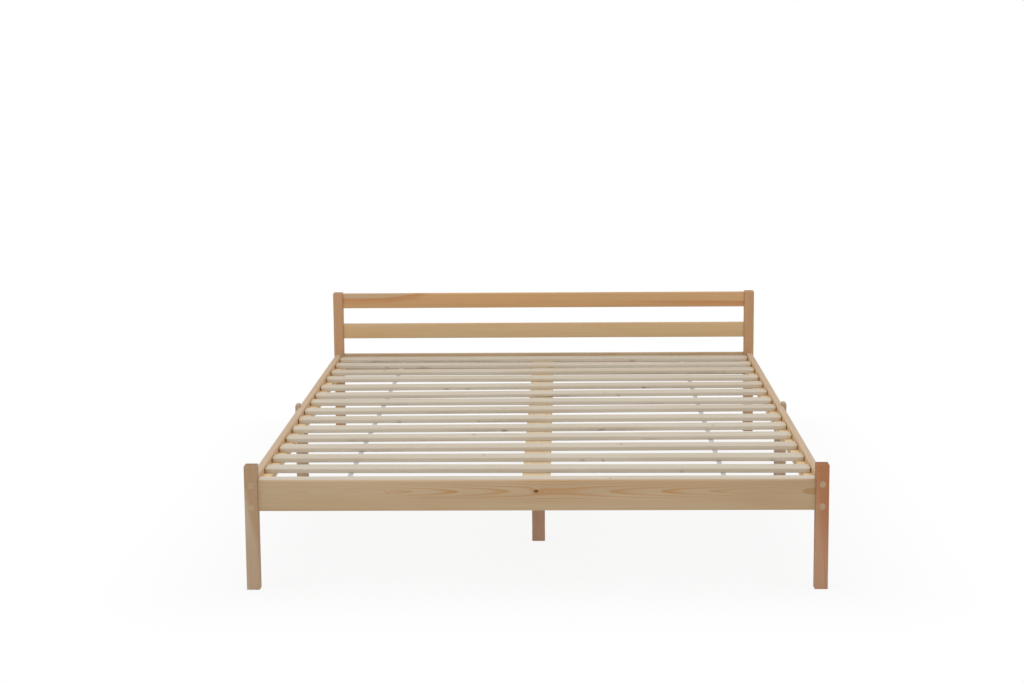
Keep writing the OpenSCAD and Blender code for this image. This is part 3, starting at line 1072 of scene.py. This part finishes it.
@dataclass
class Slat(Board):
    """A slat with round corners, which lies a little askew.

    Attributes:
        length: Its length.
        width: Its width.
        thick: Its thickness.
        askew: How far it is turned about its middle, in degrees.
        corner_r: The radius of its corners seen from above.
        under_r: The radius of its lower edges.
        wanes: Where bark is left on its lower front edge.
        most_missing: The most of the edge that a wane takes away.
        bark_in: How far bark reaches in from the front edge.
        bark_up: How far it reaches above the slat's middle.
    """

    length: float = 1410 * MM
    width: float = 56 * MM
    thick: float = 12 * MM
    askew: float = 0.0
    corner_r: float = 5 * MM
    under_r: float = 1.2 * MM
    wanes: tuple[Wane, ...] = ()
    most_missing: float = 3 * MM
    bark_in: float = 4 * MM
    bark_up: float = 1 * MM

    def missing_edge(self, x: np.ndarray, bark: bool = False) -> np.ndarray:
        """Adds up the bell curves that say how much of the edge is missing.

        Args:
            x: Distances from the slat's middle.
            bark: Whether each bell stands for the bark's darkness instead.

        Returns:
            The missing depth, or the darkness, at each distance.
        """
        total = np.zeros_like(x)
        for wane in self.wanes:
            height = wane.bark if bark else wane.depth
            total += height * np.exp(-(((x - wane.centre) / wane.reach) ** 4))
        return np.clip(total, 0, 1.0 if bark else self.most_missing)

    def section(self, x: np.ndarray, size: Vector) -> np.ndarray:
        """Works out the outline at each station.

        Near an end the slat narrows by the corner radius less the square root of that
        radius squared minus the distance into the corner squared. The lower front
        corner's radius grows by the depth of the missing edge.

        Args:
            x: The stations' distances from the middle.
            size: The slat's length, width and height.

        Returns:
            An array of stations by points by (y, z).
        """
        gap = np.clip(size.x / 2 - np.abs(x), 0, self.corner_r)
        into = self.corner_r - gap
        narrowing = self.corner_r - np.sqrt(np.clip(self.corner_r**2 - into**2, 0, None))
        drawn_in = np.clip(self.end_r - gap, 0, None)
        radii = np.full((len(x), 4), self.edge_r)
        radii[:, 2:] = self.under_r
        radii[:, 2] += self.missing_edge(x)
        return eased_section(size.y / 2 - narrowing, size.z / 2 - drawn_in, radii, steps=6)

    def size(self) -> Vector:
        """Gives the slat's own size, which its node's box exceeds when it lies askew."""
        return Vector((self.length, self.width, self.thick))

    def build(self) -> bpy.types.Object:
        """Draws the slat, turns it and marks where bark is left on it.

        Returns:
            The slat's object.
        """
        piece = super().build()
        low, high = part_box(self.node)
        middle = np.array((low + high) / 2)
        points = np.empty(len(piece.data.vertices) * 3)
        piece.data.vertices.foreach_get("co", points)
        x, y, z = (points.reshape(-1, 3) - middle).T
        front = np.clip((-y - self.width / 2 + self.bark_in) / (2 * MM), 0, 1)
        under = np.clip((-z + self.bark_up) / (3 * MM), 0, 1)
        bark = self.missing_edge(x, bark=True) * front * under
        layer = piece.data.attributes.new("bark", "FLOAT", "POINT")
        layer.data.foreach_set("value", bark.astype(np.float32))
        turn = math.radians(self.askew)
        turned = np.stack([x * math.cos(turn) - y * math.sin(turn),
                           x * math.sin(turn) + y * math.cos(turn), z], -1) + middle
        piece.data.vertices.foreach_set("co", turned.ravel())
        piece.data.update()
        return piece


@dataclass
class Tape:
    """A woven tape that is stapled under the slats and sags a little between them.

    Attributes:
        node: The CAD node that it replaces.
        slats: The slats' places along the tape, as pairs of first and last edge.
        carriers: The names of the slats that it is stapled to, which are not used.
        sag: How far it sags in the middle of a gap.
        step: The distance between stations.
        edge_r: The radius of its edges.
    """

    node: str
    slats: list[tuple[float, float]]
    carriers: list[str]
    sag: float = 1.2 * MM
    step: float = 4 * MM
    edge_r: float = 0.35 * MM

    def drop(self, y: np.ndarray) -> np.ndarray:
        """Works out how far the tape hangs: in each gap, the sag times a sine squared.

        Args:
            y: Distances along the bed.

        Returns:
            The drop at each distance.
        """
        hang = np.zeros_like(y)
        for (_, start), (end, _) in zip(self.slats, self.slats[1:]):
            share = np.clip((y - start) / (end - start), 0, 1)
            hang += self.sag * np.sin(math.pi * share) ** 2
        return hang

    def build(self) -> bpy.types.Object:
        """Draws the tape as a flat section carried along its line.

        Returns:
            The tape's object.
        """
        low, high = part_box(self.node)
        size = high - low
        y = np.linspace(low.y, high.y, round(size.y / self.step) + 1)
        half_x = np.full(len(y), size.x / 2)
        half_z = np.full(len(y), size.z / 2)
        radii = np.full((len(y), 4), self.edge_r)
        outline = eased_section(half_x, half_z, radii, steps=3)
        hang = self.drop(y)
        centre_z = (low.z + high.z) / 2 - hang
        along = np.broadcast_to(y[:, None], outline.shape[:2])
        across = outline[:, :, 0] + (low.x + high.x) / 2
        points = np.stack([across, along, outline[:, :, 1] + centre_z[:, None]], -1)
        faces = [face[::-1] for face in tube_faces(len(y), outline.shape[1])]
        piece = new_piece(f"{self.node}_woven", points, faces)
        chart = piece.data.uv_layers.new(name="weave")
        corners = np.empty(len(piece.data.loops), np.int64)
        piece.data.loops.foreach_get("vertex_index", corners)
        flat = points.reshape(-1, 3)[corners][:, :2]
        chart.data.foreach_set("uv", flat.astype(np.float32).ravel())
        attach(piece, "slat_roll")
        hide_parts(self.node)
        return piece


@dataclass
class Staples:
    """The staples that hold the tapes, drawn as bent round wire.

    Attributes:
        wire: The wire's diameter.
        width: The staple's width outside its legs.
        leg: How long its legs are.
        bend: The radius of its two bends, on the wire's middle line.
        around: How many sides the wire has.
    """

    wire: float = 1.0 * MM
    width: float = 10 * MM
    leg: float = 6 * MM
    bend: float = 1.0 * MM
    around: int = 6

    def path(self) -> tuple[np.ndarray, np.ndarray]:
        """Gives the wire's line and its directions, from one leg's tip to the other's.

        The line goes straight down, round a quarter circle, along the crown, and the
        same way up again, in the plane of X and Z.

        Returns:
            The points and the unit directions, each as an array of (x, z).
        """
        half = self.width / 2 - self.wire / 2
        turn = np.linspace(0, math.pi / 2, 4)
        x = -half + self.bend - self.bend * np.cos(turn)
        z = self.bend - self.bend * np.sin(turn)
        line = np.stack([np.concatenate([[-half], x]), np.concatenate([[self.leg], z])], -1)
        ahead = np.stack([np.sin(turn), -np.cos(turn)], -1)
        ahead = np.concatenate([[[0.0, -1.0]], ahead])
        other = line[::-1] * (-1, 1)
        return np.concatenate([line, other]), np.concatenate([ahead, ahead[::-1] * (1, -1)])

    def build(self, places: list[Point]) -> bpy.types.Object:
        """Draws all the staples as one group of separate wires.

        Args:
            places: The middle of each staple's crown.

        Returns:
            The group's object.
        """
        line, ahead = self.path()
        angle = np.linspace(0, 2 * math.pi, self.around, endpoint=False)
        side = np.stack([ahead[:, 1], -ahead[:, 0]], -1)
        radius = self.wire / 2
        x = line[:, None, 0] + radius * side[:, None, 0] * np.cos(angle)
        z = line[:, None, 1] + radius * side[:, None, 1] * np.cos(angle)
        y = np.broadcast_to(radius * np.sin(angle), x.shape)
        one = np.stack([x, y, z], -1).reshape(-1, 3)
        points = (one[None] + np.array(places)[:, None]).reshape(-1, 3)
        faces = tube_faces(len(line), self.around)
        faces = [tuple(number + len(one) * copy for number in face)
                 for copy in range(len(places)) for face in faces]
        piece = new_piece("tape_staples_wire", points, faces)
        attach(piece, "slat_roll")
        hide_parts("tape_staples")
        return piece


FRAME_PINE = Pine(early=srgb(189, 165, 131), late=srgb(178, 131, 80),
                  patch=srgb(184, 156, 120), heart=srgb(175, 137, 94))
SIDE_PINE = Pine(early=srgb(196, 173, 145), late=srgb(184, 142, 102), patch=srgb(192, 166, 135))
MIDDLE_PINE = Pine(early=srgb(208, 180, 139), late=srgb(185, 142, 96), patch=srgb(206, 173, 127))
TOP_PINE = Pine(early=srgb(197, 168, 134), late=srgb(178, 124, 76), patch=srgb(195, 163, 124),
                heart=srgb(205, 163, 113))
LEFT_POST_PINE = Pine(early=srgb(187, 173, 150), late=srgb(171, 138, 108),
                      patch=srgb(180, 154, 126), heart=srgb(171, 138, 104))
RIGHT_POST_PINE = Pine(early=srgb(183, 145, 118), late=srgb(168, 112, 80),
                       patch=srgb(181, 139, 108), heart=srgb(168, 113, 72))
HEAD_POST_PINE = Pine(early=srgb(191, 149, 110), late=srgb(174, 122, 82),
                      patch=srgb(187, 141, 99))
MID_POST_PINE = Pine(early=srgb(182, 158, 130), late=srgb(167, 127, 96), patch=srgb(177, 149, 119),
                     end=0.1)
LEG_PINE = Pine(early=srgb(186, 150, 124), late=srgb(168, 120, 90), patch=srgb(180, 142, 116))
# Painted light: the beam's pine is made lighter, standing in for the light that falls on the beam
# between the slats; the ledgers share this colour.
BEAM_PINE_PAINTED_LIGHT = Pine(early=srgb(218, 197, 160), late=srgb(206, 172, 127), patch=srgb(215, 189, 151))
SLAT_PINE = Pine(early=srgb(205, 194, 176), late=srgb(186, 166, 141), patch=srgb(199, 186, 166),
                 knot=srgb(140, 108, 84), late_share=0.4)
PLUG_PINE = Pine(early=srgb(180, 154, 121), late=srgb(162, 130, 94), patch=srgb(176, 148, 114))


def keep(node: str, material: bpy.types.Material) -> None:
    """Leaves a CAD node in its shape and gives it a finish.

    Args:
        node: The node's name.
        material: Its new material.
    """
    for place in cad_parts[node].material_slots:
        place.material = material
    LOG.info("kept %s with %s", node, material.name)


def dress(piece: bpy.types.Object, material: bpy.types.Material) -> None:
    """Gives a new piece its finish and reports it.

    Args:
        piece: The piece.
        material: Its material.
    """
    piece.data.materials.append(material)
    LOG.info("built %s with %s", piece.name, material.name)


def beside(node: str, offset: Point) -> Point:
    """Finds a point beside a CAD node, for a pith line.

    Args:
        node: The node's name.
        offset: The point's offset from the node's middle.

    Returns:
        The point.
    """
    low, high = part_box(node)
    return tuple((low + high) / 2 + Vector(offset))


@dataclass(frozen=True)
class Swelling:
    """A place on a rail's front face where its rings or its heartwood swell.

    Attributes:
        x: Its distance from the middle of the bed.
        z: Its height.
        long: Half its length.
        tall: Half its height, or 0 where it runs over the whole face.
        bend: How far the rings are pushed out.
    """

    x: float
    z: float
    long: float
    tall: float
    bend: float

    def knot(self, front: float) -> Knot:
        """Gives the swelling as a knot that does not show, on a face whose Y is front."""
        return Knot((self.x, front, self.z), (self.long, 0.0, self.tall), bend=self.bend,
                    reach=1.0, shown=False)


@dataclass
class EndFrames:
    """The foot and head ends: the rails across the bed and the four corner posts.

    Attributes:
        figure: The foot rail's apex and height where its arches turn round, as (x, z).
        pith_depth: How far behind the foot rail's face its pith lies, which says where
            the arches end.
        knot: The foot rail's one knot, as (x, z).
        swells: The small swellings of the foot rail's rings.
        top_pith: The pith line of the top head rail, as (x, depth behind its face, z).
        post_shade_height: Over what height a post's heartwood widens towards the top. This is
            painted shade: the post turns darker and redder above, and its paler lower part stands
            in for the floor's bounced light.
    """

    figure: tuple[float, float] = (61 * MM, 250 * MM)
    pith_depth: float = 36.7 * MM
    knot: tuple[float, float] = (1 * MM, 251 * MM)
    swells: tuple[Swelling, ...] = (
        Swelling(-605 * MM, 242 * MM, 24 * MM, 4.0 * MM, 3.6 * MM),
        Swelling(-560 * MM, 246 * MM, 9 * MM, 4.0 * MM, 1.8 * MM),
        Swelling(-520 * MM, 252 * MM, 8 * MM, 4.5 * MM, 2.2 * MM),
        Swelling(-490 * MM, 253 * MM, 9 * MM, 3.5 * MM, 1.8 * MM),
        Swelling(-370 * MM, 252 * MM, 10 * MM, 5.0 * MM, 2.4 * MM),
        Swelling(26 * MM, 249 * MM, 9 * MM, 3.0 * MM, 2.0 * MM),
    )
    top_pith: Point = (-0.69, 30 * MM, 380 * MM)
    post_shade_height: float = 170 * MM

    def foot_figure(self) -> Sawn:
        """Places the foot rail in its log, with its knot and small swellings.

        Its heartwood radius is below that of every point on its faces, so that only the
        wedge at its right end shows heartwood.

        Returns:
            The foot rail's place in its log.
        """
        low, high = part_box("foot_rail")
        apex, z = self.figure
        knot = Knot((self.knot[0], low.y, self.knot[1]), half=(5 * MM, 0.0, 3.6 * MM),
                    bend=1.6 * MM)
        wedge = Swelling(high.x, 249 * MM, 31 * MM, 8.5 * MM, -110 * MM)
        return Sawn(
            Run.ALONG_X, (0.0, low.y + self.pith_depth, z), ring=4.2 * MM, cone=0.0, apex=apex,
            arch=0.034, spread=20 * MM, waver=1.5 * MM, uneven=0.5,
            knots=(knot, *(swell.knot(low.y) for swell in self.swells)),
            heart=-20 * MM, heart_swells=(wedge.knot(low.y),),
        )

    def top_figure(self) -> Sawn:
        """Places the top head rail in its log: red heartwood below, sapwood above.

        Returns:
            The rail's place in its log.
        """
        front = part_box("head_top_rail")[0].y
        x, depth, z = self.top_pith
        swell = Swelling(-255 * MM, 465 * MM, 163 * MM, 0.0, -76 * MM)
        return Sawn(
            Run.ALONG_X, (x, front + depth, z), ring=2.6 * MM, cone=0.01, apex=0.0,
            waver=2 * MM, heart=97 * MM, heart_edge=3 * MM, heart_rim=0.9,
            rim_depth=26 * MM, wash=0.85, heart_swells=(swell.knot(front),),
        )

    def build_rails(self, shop: Workshop) -> None:
        """Draws the four rails and dresses each as its own board.

        Args:
            shop: The maker of the finishes.
        """
        # The foot rail is made a little darker towards its ends.
        darker_ends = Tint(start=300 * MM, full=700 * MM, times=(0.96, 0.96, 0.955))
        boards = {
            "foot_rail": (FRAME_PINE, self.foot_figure()),
            "head_low_rail": (FRAME_PINE, Sawn(
                Run.ALONG_X, beside("head_low_rail", (0.4, 0.05, 0.02)), cone=0.016)),
            "head_middle_rail": (MIDDLE_PINE, Sawn(
                Run.ALONG_X, beside("head_middle_rail", (1.7, 0.012, -0.09)))),
            "head_top_rail": (TOP_PINE, self.top_figure()),
        }
        for node, (finish, sawn) in boards.items():
            slot = "pine_heartwood" if node == "head_top_rail" else "pine"
            piece = Board(node, "frame", slot).build()
            tint = darker_ends if node == "foot_rail" else None
            dress(piece, shop.timber(f"{node}_pine", finish, sawn, tint=tint))

    def post(self, node: str, offset: Point, heart: float, top: float) -> Sawn:
        """Places an upright post in its log.

        Args:
            node: The post's node.
            offset: The pith line's offset from the post's middle.
            heart: The heartwood's radius, or NO_HEART.
            top: How much further out the heartwood reaches at the post's top, as painted shade.

        Returns:
            The post's place in its log.
        """
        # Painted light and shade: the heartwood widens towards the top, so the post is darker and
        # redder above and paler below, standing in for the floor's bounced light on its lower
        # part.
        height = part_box(node)[1].z
        swell = Knot((0.0, 0.0, height), (0.0, 0.0, self.post_shade_height), bend=-top, reach=1.0,
                     shown=False)
        return Sawn(Run.UPRIGHT, beside(node, offset), ring=2.2 * MM, waver=5 * MM,
                    heart=heart, heart_edge=14 * MM, heart_swells=(swell,))

    def build_posts(self, shop: Workshop) -> None:
        """Dresses the corner posts and the plugs and dowels in them.

        Args:
            shop: The maker of the finishes.
        """
        posts = {
            "foot_post_left": (LEFT_POST_PINE, (0.035, 0.01, -0.5), 51 * MM, 32 * MM),
            "foot_post_right": (RIGHT_POST_PINE, (0.02, 0.045, -0.5), 84 * MM, 12 * MM),
            "head_post_left": (HEAD_POST_PINE, (0.05, 0.02, 0.3), NO_HEART, 0.0),
            "head_post_right": (HEAD_POST_PINE, (-0.04, 0.035, -0.4), NO_HEART, 0.0),
        }
        for node, (finish, offset, heart, top) in posts.items():
            sawn = self.post(node, offset, heart, top)
            keep(node, shop.timber(f"{node}_pine", finish, sawn))
        across = Sawn(Run.ALONG_X, (0.3, 0.0, 0.4), ring=1.4 * MM)
        keep("bolt_plugs", shop.timber("plug_pine", PLUG_PINE, across))
        keep("rail_dowels", shop.timber("dowel_wood", PLUG_PINE, across))


@dataclass
class Sides:
    """The side rails, mid posts and battens down both sides.

    Attributes:
        seed: The start of the random draws for the boards' places in their logs.
    """

    seed: int = 7

    def build(self, shop: Workshop) -> None:
        """Dresses the pieces down both sides.

        Args:
            shop: The maker of the finishes.
        """
        rng = np.random.default_rng(self.seed)
        # Painted light: the inner faces of the side rails and the ledgers are made brighter and
        # more orange, standing in for the warm light bounced onto them inside the bed.
        painted_bounce_light = Tint(start=711 * MM, full=706.5 * MM, times=(1.13, 1.06, 0.96))
        for side in ("left", "right"):
            for half in ("front", "rear"):
                for kind, finish in (("side_rail", SIDE_PINE), ("ledger", BEAM_PINE_PAINTED_LIGHT)):
                    node = f"{kind}_{side}_{half}"
                    offset = (draw(rng, -0.03, 0.03), draw(rng, -1.5, 1.5),
                              draw(rng, -0.05, 0.05))
                    sawn = Sawn(Run.ALONG_Y, beside(node, offset), cone=0.014)
                    keep(node, shop.timber(f"{node}_pine", finish, sawn, tint=painted_bounce_light))
            node = f"mid_post_{side}"
            sawn = Sawn(Run.UPRIGHT, beside(node, (0.01, 0.05, 0.2)), ring=2.2 * MM)
            keep(node, shop.timber(f"{node}_pine", MID_POST_PINE, sawn))


@dataclass
class MiddleSupport:
    """The beam under the middle of the slats, with its blocks and legs."""

    def build(self, shop: Workshop) -> None:
        """Dresses the beam, its blocks and its legs.

        Args:
            shop: The maker of the finishes.
        """
        pieces = {
            "beam_front": (BEAM_PINE_PAINTED_LIGHT, Run.ALONG_Y, (0.01, 1.1, -0.05)),
            "beam_rear": (BEAM_PINE_PAINTED_LIGHT, Run.ALONG_Y, (-0.02, -1.4, -0.04)),
            "beam_splice": (FRAME_PINE, Run.ALONG_Y, (0.03, 0.4, 0.03)),
            "beam_cleat_foot": (FRAME_PINE, Run.ALONG_X, (0.4, 0.03, 0.02)),
            "beam_cleat_head": (FRAME_PINE, Run.ALONG_X, (-0.6, 0.02, -0.03)),
            "centre_leg_front": (LEG_PINE, Run.UPRIGHT, (0.03, 0.04, 0.3)),
            "centre_leg_rear": (LEG_PINE, Run.UPRIGHT, (-0.03, 0.03, -0.5)),
        }
        for node, (finish, run, offset) in pieces.items():
            sawn = Sawn(run, beside(node, offset), ring=2.3 * MM)
            keep(node, shop.timber(f"{node}_pine", finish, sawn))


@dataclass
class SlatRoll:
    """The slats with the tapes and staples that hold them in a row.

    Attributes:
        askew: How far each slat is turned, in degrees, from the foot end.
        tape_x: The tapes' distance from the middle of the bed.
        seed: The start of the random draws for the slats' wood.
        bounce_glow_reach: How far in from a slat's ends its wood is painted yellower, standing in
            for the warm light that the side rails bounce onto the ends.
    """

    askew: tuple[float, ...] = (0, -0.5, 0, 0.6, 1, 1.2, 0.8, 1.4, 0.3, 1.6, 1.2, 0, 0.8, -0.2, 0)
    tape_x: float = 480 * MM
    seed: int = 21
    bounce_glow_reach: float = 14 * MM

    def draw_wanes(self, rng: np.random.Generator) -> tuple[Wane, ...]:
        """Draws where bark is left: some short dark dashes and a few long pale lines.

        Args:
            rng: The source of the random draws.

        Returns:
            The places.
        """
        dashes = [Wane(centre=draw(rng, -0.66, 0.66), reach=draw(rng, 3, 11) * MM,
                       depth=0.6 * MM, bark=draw(rng, 0.5, 1.0))
                  for _ in range(int(rng.integers(0, 4)))]
        lines = [Wane(centre=draw(rng, -0.6, 0.6), reach=draw(rng, 20, 90) * MM,
                      depth=draw(rng, 0.4, 1.4) * MM, bark=draw(rng, 0.15, 0.45))
                 for _ in range(int(rng.integers(1, 5)))]
        return tuple(dashes + lines)

    def build_slat(self, shop: Workshop, number: int, rng: np.random.Generator) -> None:
        """Draws one slat as a board of its own.

        Args:
            shop: The maker of the finishes.
            number: The slat's number from the foot end.
            rng: The source of the random draws.
        """
        node = f"slat_{number:02d}"
        low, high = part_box(node)
        middle = (low + high) / 2
        slat = Slat(node, "slat_roll", "pale_pine", pitch=5 * MM,
                    askew=self.askew[number - 1], wanes=self.draw_wanes(rng))
        knots = tuple(
            Knot(centre=(draw(rng, -0.6, 0.6), middle.y + draw(rng, -22, 22) * MM, 0.0),
                 half=(draw(rng, 3, 6) * MM, draw(rng, 2, 4) * MM, 0.0), bend=1.5 * MM)
            for _ in range(int(rng.integers(0, 2))))
        offset = (draw(rng, -1, 1), draw(rng, -0.05, 0.05), draw(rng, 0.03, 0.09))
        sawn = Sawn(Run.ALONG_X, beside(node, offset), ring=draw(rng, 1.8, 3) * MM,
                    cone=draw(rng, 0.004, 0.02), knots=knots)
        half = slat.length / 2
        # Painted light: each slat is tinted yellower towards its ends, standing in for the warm
        # light bounced onto them from the side rails.
        yellow = Tint(start=half - self.bounce_glow_reach, full=half, times=srgb(251, 240, 217))
        dress(slat.build(), shop.timber(f"{node}_pine", SLAT_PINE, sawn, "bark", yellow))

    def crossings(self, x: float) -> list[tuple[float, float]]:
        """Finds each slat's first and last edge along a line down the bed.

        Args:
            x: The line's distance from the middle of the bed.

        Returns:
            Pairs of distances along the bed.
        """
        edges = []
        for number, askew in enumerate(self.askew, 1):
            low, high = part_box(f"slat_{number:02d}")
            middle = (low.y + high.y) / 2 + x * math.tan(math.radians(askew))
            half = Slat.width / 2 / math.cos(math.radians(askew))
            edges.append((middle - half, middle + half))
        return edges

    def build(self, shop: Workshop) -> None:
        """Draws the slats, tapes and staples.

        Args:
            shop: The maker of the finishes.
        """
        rng = np.random.default_rng(self.seed)
        for number in range(1, len(self.askew) + 1):
            self.build_slat(shop, number, rng)
        woven = shop.webbing("woven_tape", srgb(226, 224, 220), srgb(186, 184, 180))
        slats = [f"slat_{number:02d}" for number in range(1, len(self.askew) + 1)]
        low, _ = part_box("tape_left")
        crowns = []
        for side, x in (("left", -self.tape_x), ("right", self.tape_x)):
            edges = self.crossings(x)
            dress(Tape(f"tape_{side}", edges, slats).build(), woven)
            crowns += [(x, (front + back) / 2, low.z - Staples.wire / 2)
                       for front, back in edges]
        wire = shop.metal("staple_wire", srgb(190, 192, 196), srgb(160, 160, 158), 0.3)
        dress(Staples().build(crowns), wire)


@dataclass
class Fixings:
    """The bolts, nuts, plates and screws.

    Attributes:
        bright: The pieces with plain zinc.
        yellow: The pieces with yellow zinc.
    """

    bright: tuple[str, ...] = ("corner_bolts", "barrel_nuts", "plate_screws",
                               "joining_plate_left", "joining_plate_right")
    yellow: tuple[str, ...] = ("ledger_screws", "cleat_screws", "beam_screws",
                               "splice_screws", "leg_screws", "mid_post_screws")

    def build(self, shop: Workshop) -> None:
        """Dresses the metal pieces.

        Args:
            shop: The maker of the finishes.
        """
        zinc = shop.metal("bright_zinc", srgb(196, 199, 204), srgb(168, 172, 176), 0.28)
        brassy = shop.metal("yellow_zinc", srgb(206, 182, 118), srgb(176, 150, 96), 0.3)
        for node in self.bright:
            keep(node, zinc)
        for node in self.yellow:
            keep(node, brassy)


@dataclass(frozen=True)
class Lamp:
    """A square soft lamp.

    Attributes:
        name: Its name.
        stand: Where it hangs.
        target: The point that it shines at.
        size: The length of its sides.
        power: Its power, in watts.
    """

    name: str
    stand: Point
    target: Point
    size: float
    power: float

    def hang(self) -> None:
        """Puts the lamp into the scene."""
        data = bpy.data.lights.new(self.name, "AREA")
        data.shape = "SQUARE"
        data.size = self.size
        data.energy = self.power
        lamp = bpy.data.objects.new(self.name, data)
        aim = (Vector(self.target) - Vector(self.stand)).to_track_quat("-Z", "Y")
        lamp.matrix_world = Matrix.Translation(self.stand) @ aim.to_matrix().to_4x4()
        bpy.context.scene.collection.objects.link(lamp)


@dataclass
class Studio:
    """The camera, the lamps, the pale floor and the white surroundings.

    Attributes:
        stand: Where the camera stands, in the part's own frame.
        yaw: The camera's turn to the right, in degrees.
        pitch: Its tilt down, in degrees.
        roll: Its turn about its own axis, in degrees.
        focal: Its focal length, in pixels of the picture.
        picture: The picture's width, in pixels.
        lamps: A broad lamp over the bed and weaker ones before and beside it.
    """

    stand: Point = (0.0727, -5.9591, 1.3835)
    yaw: float = -1.4942
    pitch: float = 8.6819
    roll: float = 0.478
    focal: float = 2022.4
    picture: int = 1024
    lamps: tuple[Lamp, ...] = (
        Lamp("overhead", (0.0, 0.0, 3.2), (0.0, 0.0, 0.0), size=4.5, power=46.0),
        Lamp("front", (0.0, -6.5, 2.4), (0.0, 0.0, 0.2), size=3.5, power=45.0),
        Lamp("left", (-3.4, -2.4, 2.4), (0.0, 0.0, 0.2), size=2.5, power=16.0),
        Lamp("right", (3.6, -2.0, 2.4), (0.0, 0.0, 0.2), size=2.5, power=12.0),
    )

    def build_camera(self) -> None:
        """Makes the camera that looks along the calibrated direction.

        The forward, right and down directions follow from yaw and pitch, and right and
        down are then turned about forward by the roll.
        """
        yaw, pitch, roll = (math.radians(a) for a in (self.yaw, self.pitch, self.roll))
        ahead = Vector((math.sin(yaw) * math.cos(pitch), math.cos(yaw) * math.cos(pitch),
                        -math.sin(pitch)))
        right = Vector((math.cos(yaw), -math.sin(yaw), 0))
        down = ahead.cross(right)
        turned_right = right * math.cos(roll) + down * math.sin(roll)
        turned_down = down * math.cos(roll) - right * math.sin(roll)
        lens = bpy.data.cameras.new("camera")
        lens.sensor_width = 36.0
        lens.lens = self.focal / self.picture * lens.sensor_width
        lens.clip_start = 0.1
        lens.clip_end = 60.0
        camera = bpy.data.objects.new("camera", lens)
        axes = Matrix((turned_right, -turned_down, -ahead)).transposed()
        camera.matrix_world = Matrix.Translation(self.stand) @ axes.to_4x4()
        bpy.context.scene.collection.objects.link(camera)
        bpy.context.scene.camera = camera

    def seen(self, wires: Wiring) -> bpy.types.NodeSocket:
        """Tells what the camera, a reflection or a look through glass sees.

        Args:
            wires: The wiring of the world or material that asks.

        Returns:
            1 for such a ray, and 0 for any other.
        """
        rays = wires.node("ShaderNodeLightPath").outputs
        seen = wires.maths("MAXIMUM", rays["Is Camera Ray"], rays["Is Glossy Ray"])
        return wires.maths("MAXIMUM", seen, rays["Is Transmission Ray"])

    def build_world(self, light: float = 0.6) -> None:
        """Makes surroundings that look white and light the bed softly.

        Args:
            light: The strength of their light on the bed.
        """
        world = bpy.data.worlds.new("white_studio")
        world.use_nodes = True
        world.node_tree.nodes.clear()
        wires = Wiring(world.node_tree)
        seen = self.seen(wires)
        strength = wires.node("ShaderNodeMapRange", {"Value": seen, "To Min": light})
        ground = wires.node("ShaderNodeBackground",
                            {"Color": (1.0, 1.0, 1.0), "Strength": strength.outputs[0]})
        wires.node("ShaderNodeOutputWorld", {"Surface": ground.outputs[0]})
        bpy.context.scene.world = world

    def build_floor(
        self, shade: float = 0.14, far: float = 0.5, reach: float = 14.0, lines: int = 29
    ) -> None:
        """Lays a plain pale floor that keeps a faint shadow of the bed.

        The distance from the bed's outline is the length of the larger of zero and the
        point's absolute place less the bed's half sizes.

        Args:
            shade: How much of the floor's real light and shadow shows under the bed.
            far: The distance from the bed's outline at which the floor is plain white.
            reach: Half the length of the floor's sides.
            lines: How many rows of points it has each way.
        """
        span = np.linspace(-reach, reach, lines)
        x, y = np.meshgrid(span, span, indexing="ij")
        points = np.stack([x, y, np.zeros_like(x)], -1)
        row, column = np.meshgrid(np.arange(lines - 1), np.arange(lines - 1), indexing="ij")
        first = (row * lines + column).ravel()
        faces = np.stack([first, first + lines, first + lines + 1, first + 1], -1)
        floor = new_piece("floor", points, [tuple(face) for face in faces.tolist()])
        made = bpy.data.materials.new("pale_floor")
        made.use_nodes = True
        made.node_tree.nodes.clear()
        wires = Wiring(made.node_tree)
        plain = wires.node("ShaderNodeBsdfDiffuse", {"Color": (0.86, 0.86, 0.86)})
        white = wires.node("ShaderNodeEmission", {"Color": (1.0, 1.0, 1.0)})
        where = wires.node("ShaderNodeTexCoord").outputs["Object"]
        half = (CAD_BOUNDS[1][0], CAD_BOUNDS[1][1], 0.0)
        beyond = wires.vector("SUBTRACT", wires.vector("ABSOLUTE", where, where), half)
        beyond = wires.vector("MAXIMUM", beyond, (0.0, 0.0, 0.0))
        away = wires.node("ShaderNodeVectorMath", {0: beyond}, operation="LENGTH")
        kept = wires.span(away.outputs["Value"], 0.0, far, 1.0 - shade, 1.0)
        share = wires.times(self.seen(wires), kept)
        blend = wires.node("ShaderNodeMixShader",
                           {0: share, 1: plain.outputs[0], 2: white.outputs[0]})
        wires.node("ShaderNodeOutputMaterial", {"Surface": blend.outputs[0]})
        floor.data.materials.append(made)

    def build(self) -> None:
        """Makes the camera, lamps, surroundings and floor."""
        self.build_camera()
        for lamp in self.lamps:
            lamp.hang()
        self.build_world()
        self.build_floor()
        bpy.context.scene.view_settings.view_transform = "Standard"


def main() -> None:
    """Builds every sub-assembly in order."""
    logging.basicConfig(level=logging.INFO, format="%(name)s: %(message)s")
    Studio().build()
    shop = Workshop()
    ends = EndFrames()
    ends.build_rails(shop)
    ends.build_posts(shop)
    Sides().build(shop)
    MiddleSupport().build(shop)
    SlatRoll().build(shop)
    Fixings().build(shop)


if __name__ == "__main__":
    main()
